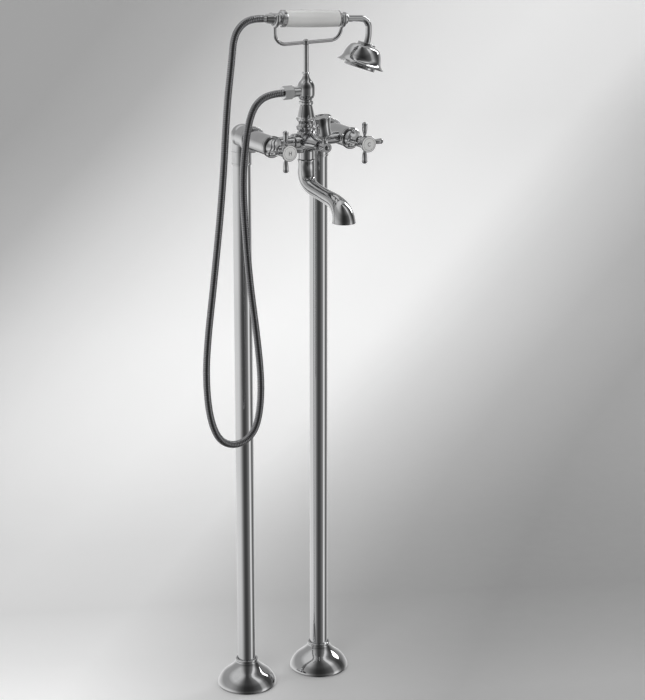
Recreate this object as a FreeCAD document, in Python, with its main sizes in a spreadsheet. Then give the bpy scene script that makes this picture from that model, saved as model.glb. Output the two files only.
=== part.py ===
import FreeCAD, Part
import math
import os
import re
import Sketcher
from FreeCAD import Placement, Rotation, Vector

# Floor standing bath filler: two standpipes rise from the floor to a mixer with a hot and a cold
# valve, a swivelling spout, a diverter lever and a riser that carries a hand shower in a cradle.
# Millimetres. +Z is up, the origin is on the floor midway between the standpipes, and the spout
# points along -Y. The hot side is at -X.

SIZES = (
    # general fits
    ("seat_gap", 0.1, "radial gap between a piece and the bore it is seated in"),
    ("run_fit", 0.08, "radial clearance of a shaft that turns in its bore"),
    ("run_gap", 0.4, "clearance between faces that pass each other"),
    # standpipes
    ("leg_spacing", 150, "between the standpipes' centre lines"),
    ("mixer_height", 1015, "floor to the valves' axes"),
    ("mixer_reach", 91, "standpipes forward to the mixer's centre line"),
    ("leg_diameter", 32, "outside of a standpipe"),
    ("leg_wall", 2, "wall of a standpipe"),
    ("base_diameter", 92, "floor plate"),
    ("base_thickness", 10, "floor plate"),
    ("socket_height", 20, "socket on the floor plate that holds the standpipe"),
    ("socket_wall", 4, "wall of that socket"),
    ("screw_spacing", 66, "between the two floor screws of one plate"),
    ("screw_hole", 6, "hole for a floor screw"),
    ("bell_diameter", 104.8, "floor cover at its widest"),
    ("bell_foot_diameter", 101, "floor cover where it meets the floor"),
    ("bell_height", 52, "floor cover"),
    ("bell_wall", 1.6, "wall of the floor cover"),
    ("bell_rim", 13, "height of the floor cover's upright rim"),
    ("bell_shoulder", 25.5, "height at which the floor cover turns from rim to flare"),
    ("bell_shoulder_diameter", 87, "floor cover at that height"),
    ("bell_collar", 6, "height of the floor cover's top collar"),
    ("bell_collar_wall", 2, "wall of that collar"),
    ("inlet_bore", 18.6, "thread bore of the water inlet"),
    ("inlet_depth", 15, "depth of that thread"),
    ("inlet_diameter", 26.4, "outside of the inlet socket"),
    ("inlet_collar", 4, "height of the collar that rests on the floor plate"),
    ("inlet_height", 26, "inlet socket"),
    ("supply_diameter", 22, "water pipe inside a standpipe"),
    ("supply_wall", 1, "wall of that pipe"),
    ("supply_seat", 9, "depth of that pipe in the inlet socket"),
    ("sleeve_height", 28, "sleeve round the top of a standpipe"),
    ("sleeve_wall", 1.3, "wall of that sleeve"),
    ("sleeve_groove", 0.5, "depth of the sleeve's two grooves"),
    # elbows and unions
    ("elbow_drop", 22, "valve axis down to the standpipe's top"),
    ("elbow_spigot", 20, "spigot that enters the standpipe"),
    ("elbow_ball", 20.5, "radius of the elbow's ball"),
    ("elbow_ball_shift", 4, "ball's centre forward of the standpipe"),
    ("elbow_neck", 17.2, "radius of the elbow's neck"),
    ("elbow_arm", 19.3, "radius of the elbow's arm"),
    ("elbow_reach", 33, "standpipe to the shoulder behind the union nut"),
    ("waterway", 9, "radius of the water's way through elbow and barrel"),
    ("seal_height", 3, "seal round the water pipe"),
    ("seal_section", 2, "radial size of that seal"),
    ("union_thread", 18, "radius of the union's threaded end"),
    ("union_thread_length", 5, "threaded end"),
    ("union_radius", 22.5, "outside of the union nut"),
    ("union_lip", 2.4, "lip of the union nut"),
    ("union_round", 2, "rounding of the union nut"),
    ("washer_thickness", 1.5, "flat washers"),
    ("tail_flange", 2.4, "flange at the barrel's back end"),
    # barrels
    ("barrel_radius", 17.3, "valve barrel"),
    ("barrel_length", 74.5, "valve barrel"),
    ("barrel_bead", 1.2, "height of the bead round the barrel's front end"),
    ("barrel_bead_width", 5, "width of that bead"),
    ("barrel_groove", 0.8, "depth of the groove behind the bead"),
    ("barrel_way", 10.8, "radius of the water's way through a barrel"),
    ("valve_bore", 12, "radius of the bore that holds the valve"),
    ("valve_depth", 40, "depth of that bore"),
    ("branch_radius", 10.8, "cross tube between barrel and centre body"),
    ("branch_bore", 7, "radius of that tube's waterway"),
    ("branch_flange", 2.4, "flange at the cross tube's end"),
    ("branch_thread", 11.8, "radius of the centre body's side thread"),
    ("branch_reach", 21, "centre line to the end of the side thread"),
    ("branch_nut_radius", 13.6, "outside of the cross tube's nut"),
    ("branch_lip", 2.4, "lip of that nut"),
    # valves
    ("valve_neck", 8.4, "radius of the valve's neck"),
    ("valve_flange", 13, "radius of the valve's flange"),
    ("valve_flange_thickness", 5, "valve's flange"),
    ("disc_chamber", 9, "radius of the chamber for the ceramic discs"),
    ("disc_chamber_depth", 11, "depth of that chamber"),
    ("disc_thickness", 3.4, "fixed ceramic disc"),
    ("foot_thickness", 6, "turning foot of the spindle"),
    ("port_radius", 4.5, "side port of the valve"),
    ("stem_radius", 4, "valve and diverter spindles"),
    ("bonnet_radius", 15.2, "bonnet at the barrel"),
    ("bonnet_front_radius", 9.6, "bonnet at the handle"),
    ("handle_gap", 1.4, "clearance between a bonnet and its handle"),
    ("bonnet_rim", 4, "straight rim of the bonnet"),
    ("bonnet_curve", 34, "radius of the bonnet's hollow curve"),
    ("bonnet_usual", 29, "bonnet's length from which that curve flattens, which keeps its wall"),
    # handles
    ("handle_reach", 157, "standpipes forward to the plane of the handles' arms"),
    ("hub_back", 12.6, "arms' plane back to the hub's end"),
    ("hub_skirt", 7.6, "radius of the hub at its back"),
    ("hub_radius", 10.4, "radius of the hub at the arms"),
    ("hub_waist", 9.2, "radius of the waist in front of the arms"),
    ("hub_waist_place", 5.5, "arms' plane forward to that waist"),
    ("cup_radius", 13.8, "cup that holds the index"),
    ("cup_base", 9.5, "arms' plane forward to the cup"),
    ("cup_front", 14.4, "arms' plane forward to the cup's rim"),
    ("cup_wall", 1, "rim of the cup"),
    ("cup_depth", 3.2, "recess for the index"),
    ("index_dome", 1.4, "how far the porcelain index stands out of its cup"),
    ("stem_end", 0.9, "arms' plane forward to the spindle's end"),
    ("screw_head_radius", 4.6, "handle screw"),
    ("screw_head_height", 3.4, "handle screw"),
    ("screw_shank", 2, "radius of the handle screw's shank"),
    ("screw_length", 12, "handle screw's shank"),
    ("screw_seat", 4, "arms' plane forward to the screw head's seat"),
    ("arm_reach", 35.4, "hub's centre to the tip of an arm"),
    ("arm_neck", 2.4, "radius of an arm at its thinnest"),
    ("arm_neck_place", 13, "hub's centre to that place"),
    ("arm_root", 3.4, "radius of an arm at the hub"),
    ("arm_root_place", 8, "hub's centre to that place"),
    ("arm_tip", 4.9, "radius of an arm at its thickest"),
    ("arm_curve", 48, "radius of the curve from an arm's neck to its tip"),
    ("quarter_turns", 4, "arms on a handle"),
    # centre body
    ("body_radius", 17, "centre body"),
    ("body_foot", 16, "valve axis down to the centre body's foot"),
    ("body_foot_radius", 13.8, "radius of that foot"),
    ("body_head", 18, "valve axis up to the centre body's top"),
    ("body_head_radius", 14.4, "radius of that top"),
    ("body_belt", 6, "half the height of the centre body's straight belt"),
    ("boss_radius", 15, "front boss for the diverter"),
    ("boss_reach", 17.8, "centre line to the boss's face"),
    ("chamber_radius", 9.8, "diverter's chamber"),
    ("chamber_back", 8, "centre line back to the chamber's end"),
    ("riser_bore", 7.5, "waterway up to the hand shower"),
    ("spout_bore", 8, "radius of the waterway down the spout's spigot"),
    # diverter
    ("diverter_length", 33, "diverter's bonnet"),
    ("diverter_front", 9.2, "radius of that bonnet at its front"),
    ("diverter_rim", 3, "straight rim of that bonnet"),
    ("diverter_curve", 60, "radius of that bonnet's hollow curve"),
    ("plug_length", 20, "ported plug in the chamber"),
    ("plug_port", 5, "radius of the plug's port"),
    ("lever_plane", 156, "standpipes forward to the lever's centre"),
    ("lever_hub", 8, "radius of the lever's hub"),
    ("lever_hub_length", 15, "lever's hub"),
    ("lever_neck", 3.1, "radius of the lever's neck"),
    ("lever_neck_top", 19, "spindle's axis up to the lever's grip"),
    ("lever_foot_radius", 12.6, "lever's grip at its foot"),
    ("lever_foot_round", 3.4, "rounding at the foot of the grip"),
    ("lever_top_radius", 15.4, "lever's grip at its top"),
    ("lever_top", 53, "spindle's axis up to the top of the grip"),
    ("lever_flare", 70, "radius of the grip's hollow flare"),
    ("lever_rim", 2.2, "height of the rim round the grip's top"),
    ("lever_dish", 1.2, "depth of the dish in the grip's top"),
    ("lever_lean", 7, "lean of the lever towards the hot side at rest, degrees"),
    ("cap_radius", 4.4, "lever's cap screw"),
    ("cap_height", 2.6, "lever's cap screw"),
    # riser
    ("ring_radius", 17.2, "riser nut's two rings"),
    ("ring_height", 4.5, "lower ring"),
    ("upper_ring_height", 3.6, "upper ring"),
    ("riser_nut_height", 21.5, "riser nut"),
    ("riser_nut_waist", 15, "riser nut between its rings"),
    ("riser_foot_radius", 14.6, "riser cone at its foot"),
    ("riser_top_radius", 10.4, "riser cone at its top"),
    ("riser_cone_height", 22, "riser cone"),
    ("riser_collar_radius", 12.2, "collar on the riser cone"),
    ("riser_collar_height", 7.5, "that collar"),
    ("riser_wall", 3, "wall of the riser"),
    ("bulb_radius", 15.1, "bulb that carries the hose outlet"),
    ("bulb_foot_radius", 10.2, "bulb at its foot"),
    ("bulb_low", 10, "foot of the bulb up to its widest place"),
    ("bulb_width_height", 9, "height of the bulb's full width"),
    ("bulb_height", 43, "bulb with its pointed top"),
    ("bulb_tip_radius", 5.2, "bulb at its tip"),
    ("bulb_shoulder", 31, "foot of the bulb up to its shoulder"),
    ("bulb_shoulder_radius", 10.6, "bulb at its shoulder"),
    ("outlet_height", 84, "valve axis up to the hose outlet"),
    ("outlet_radius", 8.5, "hose outlet's arm"),
    ("outlet_reach", 25.5, "riser's centre to the end of the outlet's arm"),
    ("outlet_thread", 7.6, "radius of the outlet's thread"),
    ("outlet_thread_length", 6, "that thread"),
    ("outlet_bore", 5, "radius of the outlet's waterway"),
    ("stem_rod", 4.7, "radius of the cradle's stem"),
    ("stem_foot_radius", 6.6, "ring at the foot of the stem"),
    ("stem_foot_height", 3, "that ring"),
    # cradle
    ("rod_radius", 3.1, "cradle's rod"),
    ("cradle_height", 165, "valve axis up to the cradle's bar"),
    ("cradle_bend", 20, "radius of the bar's two corners"),
    ("cradle_hot_arm", 58.5, "stem to the yoke on the hot side"),
    ("cradle_cold_arm", 67.6, "stem to the yoke on the cold side"),
    ("yoke_tips", 5, "height of the yokes' straight tips"),
    ("yoke_gap", 0.3, "gap between the hand shower's neck and its yoke"),
    ("cradle_knob", 5.8, "radius of the ball where stem and bar meet"),
    # hand shower
    ("handset_height", 203.6, "valve axis up to the middle of the grip"),
    ("handset_shift", 9.6, "riser's centre to the middle of the grip"),
    ("handset_droop", 4.1, "how far the grip's axis points down, degrees"),
    ("grip_length", 99.6, "porcelain grip"),
    ("grip_end_radius", 13.7, "porcelain grip at its ends"),
    ("grip_swell", 0.9, "how much thicker the grip is in its middle"),
    ("grip_tube", 6, "radius of the tube inside the grip"),
    ("grip_tube_wall", 1.2, "wall of that tube"),
    ("ferrule_radius", 14.3, "ferrules at the ends of the grip"),
    ("ferrule_width", 6, "straight part of the tail ferrule"),
    ("ferrule_length", 12.2, "tail ferrule up to its neck"),
    ("ferrule_cove", 3.4, "radius of the hollow between tail ferrule and neck"),
    ("neck_radius", 8.8, "necks that lie in the yokes"),
    ("tail_neck_length", 13, "neck at the tail"),
    ("head_ferrule_width", 3.7, "head ferrule up to its neck"),
    ("head_neck_length", 9, "neck at the head"),
    ("head_collar_radius", 10.8, "collar behind the shower's pipe"),
    ("head_collar_length", 7, "that collar"),
    ("pipe_radius", 5.6, "bent pipe to the rose"),
    ("pipe_wall", 1.2, "wall of that pipe"),
    ("pipe_straight", 32.4, "bent pipe before its first bend"),
    ("pipe_bend", 16, "radius of the first bend"),
    ("pipe_drop", 7.6, "straight between the bends"),
    ("pipe_sweep", 60, "radius of the second bend"),
    ("pipe_end", 2, "straight at the rose"),
    ("rose_tilt", 20, "tilt of the rose towards the grip, degrees"),
    ("rose_radius", 41, "rim of the rose"),
    ("rose_height", 32, "rim up to the top of the bell"),
    ("rose_wall", 1.5, "wall of the rose"),
    ("rose_lip", 1.8, "thickness of the rim"),
    ("rose_rim", 3, "width of the rim round the spray plate"),
    ("rose_waist_radius", 33.2, "bell above its lip"),
    ("rose_waist_height", 10, "rim up to that place"),
    ("rose_shoulder_radius", 25.8, "bell at its shoulder"),
    ("rose_shoulder_height", 28, "rim up to that shoulder"),
    ("rose_crown", 15.4, "radius of the crown on top of the bell, which holds the pipe"),
    ("rose_crown_height", 4.8, "that crown"),
    ("plate_thickness", 1.6, "spray plate"),
    ("plate_boss_radius", 27, "raised middle of the spray plate"),
    ("plate_boss_height", 5.4, "that middle"),
    ("jet_radius", 0.9, "hole of one jet"),
    ("jet_ring_gap", 7.4, "between rings of jets"),
    ("jet_rings", 3, "rings of jets"),
    # hose
    ("hose_radius", 6.1, "outside of the metal hose"),
    ("hose_bore", 5, "radius of the hose's bore"),
    ("ferrule_bore", 4.6, "radius of a hose ferrule's bore"),
    ("nut_across", 20.4, "hose nut across its flats"),
    ("nut_length", 17.5, "hose nut"),
    ("nut_chamfer", 1.2, "chamfer of the hose nut"),
    ("nut_lip", 3, "lip of the hose nut"),
    ("ferrule_flange", 2.2, "flange of a hose ferrule"),
    ("ferrule_stub", 12, "hose ferrule beyond its flange"),
    ("cone_foot", 9, "conical hose nut at the hand shower"),
    ("cone_length", 16, "conical hose nut"),
    # spout
    ("spout_nut_radius", 13.8, "nut that holds the spout"),
    ("spout_nut_height", 15, "that nut"),
    ("spout_thread", 12, "radius of the thread for that nut"),
    ("spout_thread_length", 6, "that thread"),
    ("spigot_radius", 10, "spout's spigot in the centre body"),
    ("spigot_length", 10, "spigot above the thread's end"),
    ("spout_flange", 2, "flange that the nut holds"),
    ("spout_neck", 10.6, "radius of the spout inside the nut's lip"),
    ("spout_wall", 1.8, "wall of the spout"),
    ("spout_seal", 0.9, "half thickness of the spout's seal"),
    ("aerator_radius", 16.7, "flow straightener in the spout's mouth"),
    ("aerator_thickness", 4, "flow straightener"),
    ("aerator_recess", 1.5, "mouth's edge up to the flow straightener"),
)
NAMES = {name for name, value, note in SIZES}

# The spout's centre line from its shoulder to its mouth: forward of the riser, below the valve
# axis, slope away from straight down in degrees, and outside radius.
SPOUT_STATIONS = (
    (0.0, 34.3, 0, 14.9),
    (0.0, 53.0, 0, 14.7),
    (6.0, 69.0, 38, 13.8),
    (21.0, 76.5, 72, 12.7),
    (44.0, 80.0, 82, 12.0),
    (74.0, 83.0, 83, 12.4),
    (99.0, 86.5, 72, 13.8),
    (117.0, 94.5, 40, 16.5),
    (126.0, 107.0, 8, 18.7),
    (127.0, 115.0, 0, 19.9),
)

# The hose's route in the riser's plane: across from the riser's centre, forward of the
# standpipes, and up from the floor. It leaves the outlet, hangs in a loop and climbs to the grip.
HOSE_ROUTE = (
    (-47.2, 91.0, 1099.0),
    (-67.6, 91.0, 1099.0),
    (-89.4, 91.0, 1089.8),
    (-103.4, 91.0, 1070.8),
    (-113.8, 91.5, 1030.8),
    (-121.5, 92.5, 958.3),
    (-118.1, 93.5, 880.0),
    (-110.8, 94.5, 781.9),
    (-98.5, 95.0, 689.9),
    (-90.5, 95.5, 604.2),
    (-95.7, 96.0, 542.4),
    (-110.6, 96.0, 511.0),
    (-140.8, 96.0, 498.6),
    (-171.0, 96.0, 511.0),
    (-187.6, 95.5, 546.0),
    (-195.3, 95.0, 600.0),
    (-194.6, 94.5, 672.2),
    (-176.3, 93.5, 804.7),
    (-158.6, 92.5, 949.8),
    (-148.7, 91.5, 1085.4),
    (-138.5, 91.0, 1159.0),
    (-134.6, 91.0, 1197.5),
    (-121.1, 91.0, 1217.6),
    (-100.9, 91.0, 1226.6),
    (-80.9, 91.0, 1225.1),
)

UP = Rotation()
FORWARD = Rotation(Vector(1, 0, 0), 90)
BACKWARD = Rotation(Vector(1, 0, 0), -90)
TO_HOT = Rotation(Vector(0, 1, 0), -90)
TO_COLD = Rotation(Vector(0, 1, 0), 90)
CENTRE = ("0", "0", "0")
SIDES = (("hot", "-1", TO_COLD), ("cold", "1", TO_HOT))

doc = FreeCAD.newDocument("bath_filler")
sheet = doc.addObject("Spreadsheet::Sheet", "Sizes")
for row, (name, value, note) in enumerate(SIZES, start=1):
    sheet.set(f"A{row}", note)
    sheet.set(f"B{row}", str(value))
    sheet.setAlias(f"B{row}", name)
doc.recompute()
pieces = []


def cells(formula):
    """Write each size in a formula as a cell of the sheet."""
    return re.sub(r"[a-z]\w*", lambda word: f"Sizes.{word[0]}" if word[0] in NAMES else word[0], formula)


def size(formula):
    """The value of a formula over the sheet's sizes."""
    return float(sheet.evalExpression(cells(formula)))


def bind(item, field, formula):
    item.setExpression(field, cells(formula))


def locate(item, at, turn):
    """Stand an item at a place given by three formulas."""
    item.Placement = Placement(Vector(), turn)
    for axis, formula in zip("xyz", at):
        bind(item, f"Placement.Base.{axis}", formula)


def offset(at, shift):
    """A place moved by a vector."""
    return tuple(f"{place} + {step}" for place, step in zip(at, shift))


def piece(item, label, at=CENTRE, turn=UP):
    """List an object as a finished piece, under its own label and at its own place."""
    item.Label = label
    locate(item, at, turn)
    pieces.append(item)
    return item


def origin_feature(body, role):
    return next(feature for feature in body.Origin.OriginFeatures if feature.Role == role)


def sketch_on(body, name, role="XZ_Plane"):
    sketch = body.newObject("Sketcher::SketchObject", name)
    sketch.AttachmentSupport = (origin_feature(body, role), [""])
    sketch.MapMode = "FlatFace"
    return sketch


def arc_between(start, end, radius):
    """An arc from start to end, and whether it runs anticlockwise: a positive radius bulges right."""
    chord = end - start
    middle = (start + end) * 0.5
    reach = math.sqrt(max(radius**2 - (chord.Length / 2) ** 2, 0))
    left = Vector(-chord.y, chord.x, 0).normalize()
    centre = middle + left * math.copysign(reach, radius)
    circle = Part.Circle(centre, Vector(0, 0, 1), abs(radius))
    turns_left = radius > 0
    first, last = (start, end) if turns_left else (end, start)
    angles = [math.atan2(point.y - centre.y, point.x - centre.x) for point in (first, last)]
    if angles[1] < angles[0]:
        angles[1] += 2 * math.pi
    return Part.ArcOfCircle(circle, *angles), turns_left


def outline(sketch, stations, closed=True):
    """Draw lines and arcs through stations: across, up and, for an arc to the next, its radius."""
    points = [Vector(size(station[0]), size(station[1]), 0) for station in stations]
    count = len(points) if closed else len(points) - 1
    edges = []
    ends = []
    for index in range(count):
        start = points[index]
        end = points[(index + 1) % len(points)]
        if len(stations[index]) == 3:
            edge, forwards = arc_between(start, end, size(stations[index][2]))
        else:
            edge, forwards = Part.LineSegment(start, end), True
        edges.append(edge)
        ends.append((1, 2) if forwards else (2, 1))
    sketch.addGeometry(edges, False)
    for index in range(count):
        following = (index + 1) % len(points)
        if closed or following < count:
            joint = (index, ends[index][1], following, ends[following][0])
            sketch.addConstraint(Sketcher.Constraint("Coincident", *joint))
        if len(stations[index]) == 3:
            radius = stations[index][2].lstrip("-")
            place = sketch.addConstraint(Sketcher.Constraint("Radius", index, size(radius)))
            bind(sketch, f"Constraints[{place}]", radius)
        tie(sketch, index, ends[index][0], stations[index])
    if not closed:
        tie(sketch, count - 1, ends[-1][1], stations[-1])
    return sketch


def tie(sketch, edge, end, station):
    """Tie one end of an edge to the sheet, across and up."""
    for kind, formula, axis in (("DistanceX", station[0], -2), ("DistanceY", station[1], -1)):
        if formula == "0":
            sketch.addConstraint(Sketcher.Constraint("PointOnObject", edge, end, axis))
        else:
            constraint = Sketcher.Constraint(kind, -1, 1, edge, end, size(formula))
            bind(sketch, f"Constraints[{sketch.addConstraint(constraint)}]", formula)


def revolve(body, name, stations, kind="Revolution", axis="V_Axis"):
    """Turn a half outline round its sketch's upright axis."""
    feature = body.newObject(f"PartDesign::{kind}", name)
    sketch = outline(sketch_on(body, f"{name}_outline"), stations)
    feature.Profile = sketch
    feature.ReferenceAxis = (sketch, [axis])
    feature.Angle = 360
    sketch.Visibility = False
    return feature


def turned(label, stations, at=CENTRE, turn=UP):
    """A piece turned from bar: a closed half outline spun round its own axis."""
    body = doc.addObject("PartDesign::Body", label)
    revolve(body, f"{label}_turn", stations)
    return piece(body, label, at, turn)


def rod(body, name, radius, length, at=CENTRE, turn=UP, cut=False):
    """Add a round bar to a body, or drill one out of it."""
    feature = body.newObject(f"PartDesign::{'Subtractive' if cut else 'Additive'}Cylinder", name)
    bind(feature, "Radius", radius)
    bind(feature, "Height", length)
    locate(feature, at, turn)
    return feature


def ball(body, name, radius, at=CENTRE, cut=False):
    feature = body.newObject(f"PartDesign::{'Subtractive' if cut else 'Additive'}Sphere", name)
    bind(feature, "Radius", radius)
    locate(feature, at, UP)
    return feature


def pattern(body, features, name, count):
    """Repeat features evenly round the body's own axis."""
    repeat = body.newObject("PartDesign::PolarPattern", name)
    repeat.Originals = features
    repeat.Axis = (origin_feature(body, "Z_Axis"), [""])
    repeat.Angle = 360
    bind(repeat, "Occurrences", count)
    body.Tip = repeat
    return repeat


def pair(label, stations, places):
    """Identical turned pieces on the hot and the cold side that share one node."""
    bodies = []
    for (side, sign, inwards), (at, turn) in zip(SIDES, places):
        body = doc.addObject("PartDesign::Body", f"{label}_{side}")
        revolve(body, f"{label}_{side}_turn", stations)
        locate(body, at, turn)
        bodies.append(body)
    group = doc.addObject("Part::Compound", label)
    group.Links = bodies
    return piece(group, label)


def ring(label, inside, outside, height, at=CENTRE, turn=UP):
    """A plain flat ring."""
    stations = ((inside, "0"), (outside, "0"), (outside, height), (inside, height))
    return turned(label, stations, at, turn)


def ring_pair(label, inside, outside, height, places):
    """Identical flat rings on the hot and the cold side that share one node."""
    stations = ((inside, "0"), (outside, "0"), (outside, height), (inside, height))
    return pair(label, stations, places)


# Formulas that several pieces share.
LEG_TOP = "(mixer_height - elbow_drop)"
LEG_RADIUS = "leg_diameter / 2"
LEG_BORE = "(leg_diameter / 2 - leg_wall)"
UNION_WASHER = "(elbow_reach + union_thread_length)"
BARREL_BACK = f"({UNION_WASHER} + washer_thickness)"
BARREL_FRONT = f"({BARREL_BACK} + barrel_length)"
BRANCH_PLACE = f"(mixer_reach - {BARREL_BACK})"
BONNET_LENGTH = f"(handle_reach - hub_back - handle_gap - {BARREL_FRONT})"
BONNET_CURVE = f"(bonnet_curve * max(1; {BONNET_LENGTH} / bonnet_usual) ^ 2)"
VALVE_NECK = f"({BONNET_LENGTH} / 2)"
NUT_START = "(body_radius + 0.5)"
RISER_FOOT = "(mixer_height + body_head)"
RISER_CONE_FOOT = f"({RISER_FOOT} + riser_nut_height)"
BULB_FOOT = f"({RISER_CONE_FOOT} + riser_cone_height + riser_collar_height)"
BULB_TOP = f"({BULB_FOOT} + bulb_height)"
THREAD_END = "(body_foot + spout_thread_length)"
SPOUT_LIP = f"({THREAD_END} + spout_flange + 0.5)"
SPOUT_FOOT = "(body_foot + spout_nut_height)"


def side_place(sign, forward="0", up="0"):
    """A place on the hot or the cold side's centre plane."""
    return (f"{sign} * leg_spacing / 2", f"-({forward})", up)


def both_sides(forward="0", up="0", turn=UP):
    """The same place on the hot and on the cold side, each with the same turn."""
    return [(side_place(sign, forward, up), turn) for side, sign, inwards in SIDES]


def floor_plate(side, sign):
    """Round plate on the floor, with a socket for the standpipe and two screw holes."""
    label = f"{side}_floor_plate"
    bore = "inlet_diameter / 2 + seat_gap"
    socket = "leg_diameter / 2 + seat_gap"
    wall = f"{socket} + socket_wall"
    top = "base_thickness + socket_height"
    stations = (
        (bore, "0"), ("base_diameter / 2", "0"), ("base_diameter / 2", "base_thickness - 1"),
        ("base_diameter / 2 - 1", "base_thickness"), (wall, "base_thickness"), (wall, top),
        (socket, top), (socket, "base_thickness"), (bore, "base_thickness"),
    )
    body = turned(label, stations, side_place(sign))
    hole_at = ("0", "screw_spacing / 2", "0")
    hole = rod(body, f"{label}_hole", "screw_hole / 2", "base_thickness", hole_at, UP, True)
    pattern(body, [hole], f"{label}_holes", "2")


def floor_cover(side, sign):
    """Bell that slides down the standpipe and hides the floor plate."""
    collar = "leg_diameter / 2 + run_gap + bell_collar_wall"
    flare_top = "bell_height - bell_collar"
    stations = (
        ("bell_foot_diameter / 2", "0", "0.8 * bell_rim"),
        ("bell_diameter / 2", "0.55 * bell_rim"),
        ("bell_diameter / 2", "bell_rim", "bell_rim"),
        ("bell_shoulder_diameter / 2", "bell_shoulder", "-0.34 * bell_diameter"),
        (f"{collar} + 0.6", flare_top),
        (collar, flare_top),
        (collar, "bell_height - 0.6"),
        (f"{collar} - 0.6", "bell_height"),
        ("leg_diameter / 2 + run_gap", "bell_height"),
        ("leg_diameter / 2 + run_gap", f"{flare_top} - bell_wall", "0.34 * bell_diameter + bell_wall"),
        ("bell_shoulder_diameter / 2 - bell_wall", "bell_shoulder - bell_wall", "-(bell_rim - bell_wall)"),
        ("bell_diameter / 2 - bell_wall", "bell_rim"),
        ("bell_diameter / 2 - bell_wall", "0.55 * bell_rim"),
        ("bell_foot_diameter / 2 - bell_wall", "0"),
    )
    turned(f"{side}_floor_cover", stations, side_place(sign))


def inlet_sockets():
    """Threaded socket that takes the supply from below and the water pipe from above."""
    outside = "inlet_diameter / 2"
    collar = f"{LEG_BORE} - seat_gap"
    collar_top = "base_thickness + inlet_collar"
    seat = "supply_diameter / 2 + seat_gap"
    seat_floor = "inlet_height - supply_seat"
    stations = (
        ("inlet_bore / 2", "0.5"), (outside, "0.5"), (outside, "base_thickness"), (collar, "base_thickness"),
        (collar, collar_top), (outside, collar_top), (outside, "inlet_height"), (seat, "inlet_height"),
        (seat, seat_floor), ("waterway", seat_floor), ("waterway", "inlet_depth + 0.5"),
        ("inlet_bore / 2", "inlet_depth + 0.5"),
    )
    pair("inlet_sockets", stations, both_sides())


def standpipe(side, sign):
    """Chromed tube from the floor plate to the elbow."""
    length = f"{LEG_TOP} - base_thickness"
    ring(f"{side}_standpipe", LEG_BORE, LEG_RADIUS, length, side_place(sign, "0", "base_thickness"))


def supply_pipes():
    """Water pipe inside each standpipe, and the seal that closes it in the elbow."""
    foot = "inlet_height - supply_seat"
    inside = "supply_diameter / 2 - supply_wall"
    outside = "supply_diameter / 2"
    length = f"{LEG_TOP} - 1 - ({foot})"
    ring_pair("supply_pipes", inside, outside, length, both_sides("0", foot))
    seal_foot = f"{LEG_TOP} - 6"
    inner = f"{outside} + seat_gap / 4"
    ring_pair("elbow_seals", inner, f"{outside} + seal_section", "seal_height", both_sides("0", seal_foot))


def sleeves():
    """Sleeve round the top of the standpipe, with a groove near each end."""
    inside = "leg_diameter / 2 + seat_gap / 2"
    outside = f"{inside} + sleeve_wall"
    groove = f"{outside} - sleeve_groove"
    stations = (
        (inside, "0"), (f"{outside} - 0.4", "0"), (outside, "0.4"), (outside, "3"), (groove, "3.4"),
        (groove, "4.2"), (outside, "4.6"), (outside, "sleeve_height - 4.6"), (groove, "sleeve_height - 4.2"),
        (groove, "sleeve_height - 3.4"), (outside, "sleeve_height - 3"), (outside, "sleeve_height"),
        (inside, "sleeve_height"),
    )
    pair("sleeves", stations, both_sides("0", f"{LEG_TOP} - sleeve_height"))


def elbow(side, sign):
    """Ball-shaped elbow: a spigot down into the standpipe and a threaded end forward."""
    label = f"{side}_elbow"
    spigot = f"{LEG_BORE} - seat_gap"
    pipe = "supply_diameter / 2 + seat_gap"
    foot = "-(elbow_drop + elbow_spigot)"
    body = doc.addObject("PartDesign::Body", label)
    stations = (
        ("0", foot), (spigot, foot), (spigot, "-elbow_drop"), ("elbow_neck", "-elbow_drop"),
        ("elbow_neck", "0"), ("0", "0"),
    )
    revolve(body, f"{label}_neck", stations)
    ball(body, f"{label}_ball", "elbow_ball", ("0", "-elbow_ball_shift", "0"))
    rod(body, f"{label}_arm", "elbow_arm", "elbow_reach", CENTRE, FORWARD)
    rod(body, f"{label}_thread", "union_thread", UNION_WASHER, CENTRE, FORWARD)
    rod(body, f"{label}_rise", "waterway", "elbow_drop + elbow_spigot", ("0", "0", foot), UP, True)
    rod(body, f"{label}_seat", pipe, "elbow_spigot", ("0", "0", foot), UP, True)
    groove = "supply_diameter / 2 + seal_section"
    groove_foot = "-(elbow_drop + 6)"
    groove_top = f"{groove_foot} + seal_height"
    seal_room = (
        ("waterway", groove_foot), (groove, groove_foot), (groove, groove_top), ("waterway", groove_top),
    )
    revolve(body, f"{label}_groove", seal_room, "Groove")
    ball(body, f"{label}_corner", "waterway", CENTRE, True)
    rod(body, f"{label}_way", "waterway", UNION_WASHER, CENTRE, FORWARD, True)
    piece(body, label, side_place(sign, "0", "mixer_height"))


def union_nuts():
    """Round nut that draws the barrel's flange against the elbow."""
    thread = "union_thread + seat_gap"
    lip = "barrel_radius + seat_gap"
    lip_start = "union_thread_length + washer_thickness + tail_flange"
    end = f"{lip_start} + union_lip"
    stations = (
        (thread, "0"), ("union_radius - union_round", "0", "union_round"), ("union_radius", "union_round"),
        ("union_radius", f"{end} - union_round", "union_round"), ("union_radius - union_round", end),
        (lip, end), (lip, lip_start), (thread, lip_start),
    )
    pair("union_nuts", stations, both_sides("elbow_reach", "mixer_height", FORWARD))
    washer_places = both_sides(UNION_WASHER, "mixer_height", FORWARD)
    ring_pair("union_washers", "waterway", "union_thread", "washer_thickness", washer_places)


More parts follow.
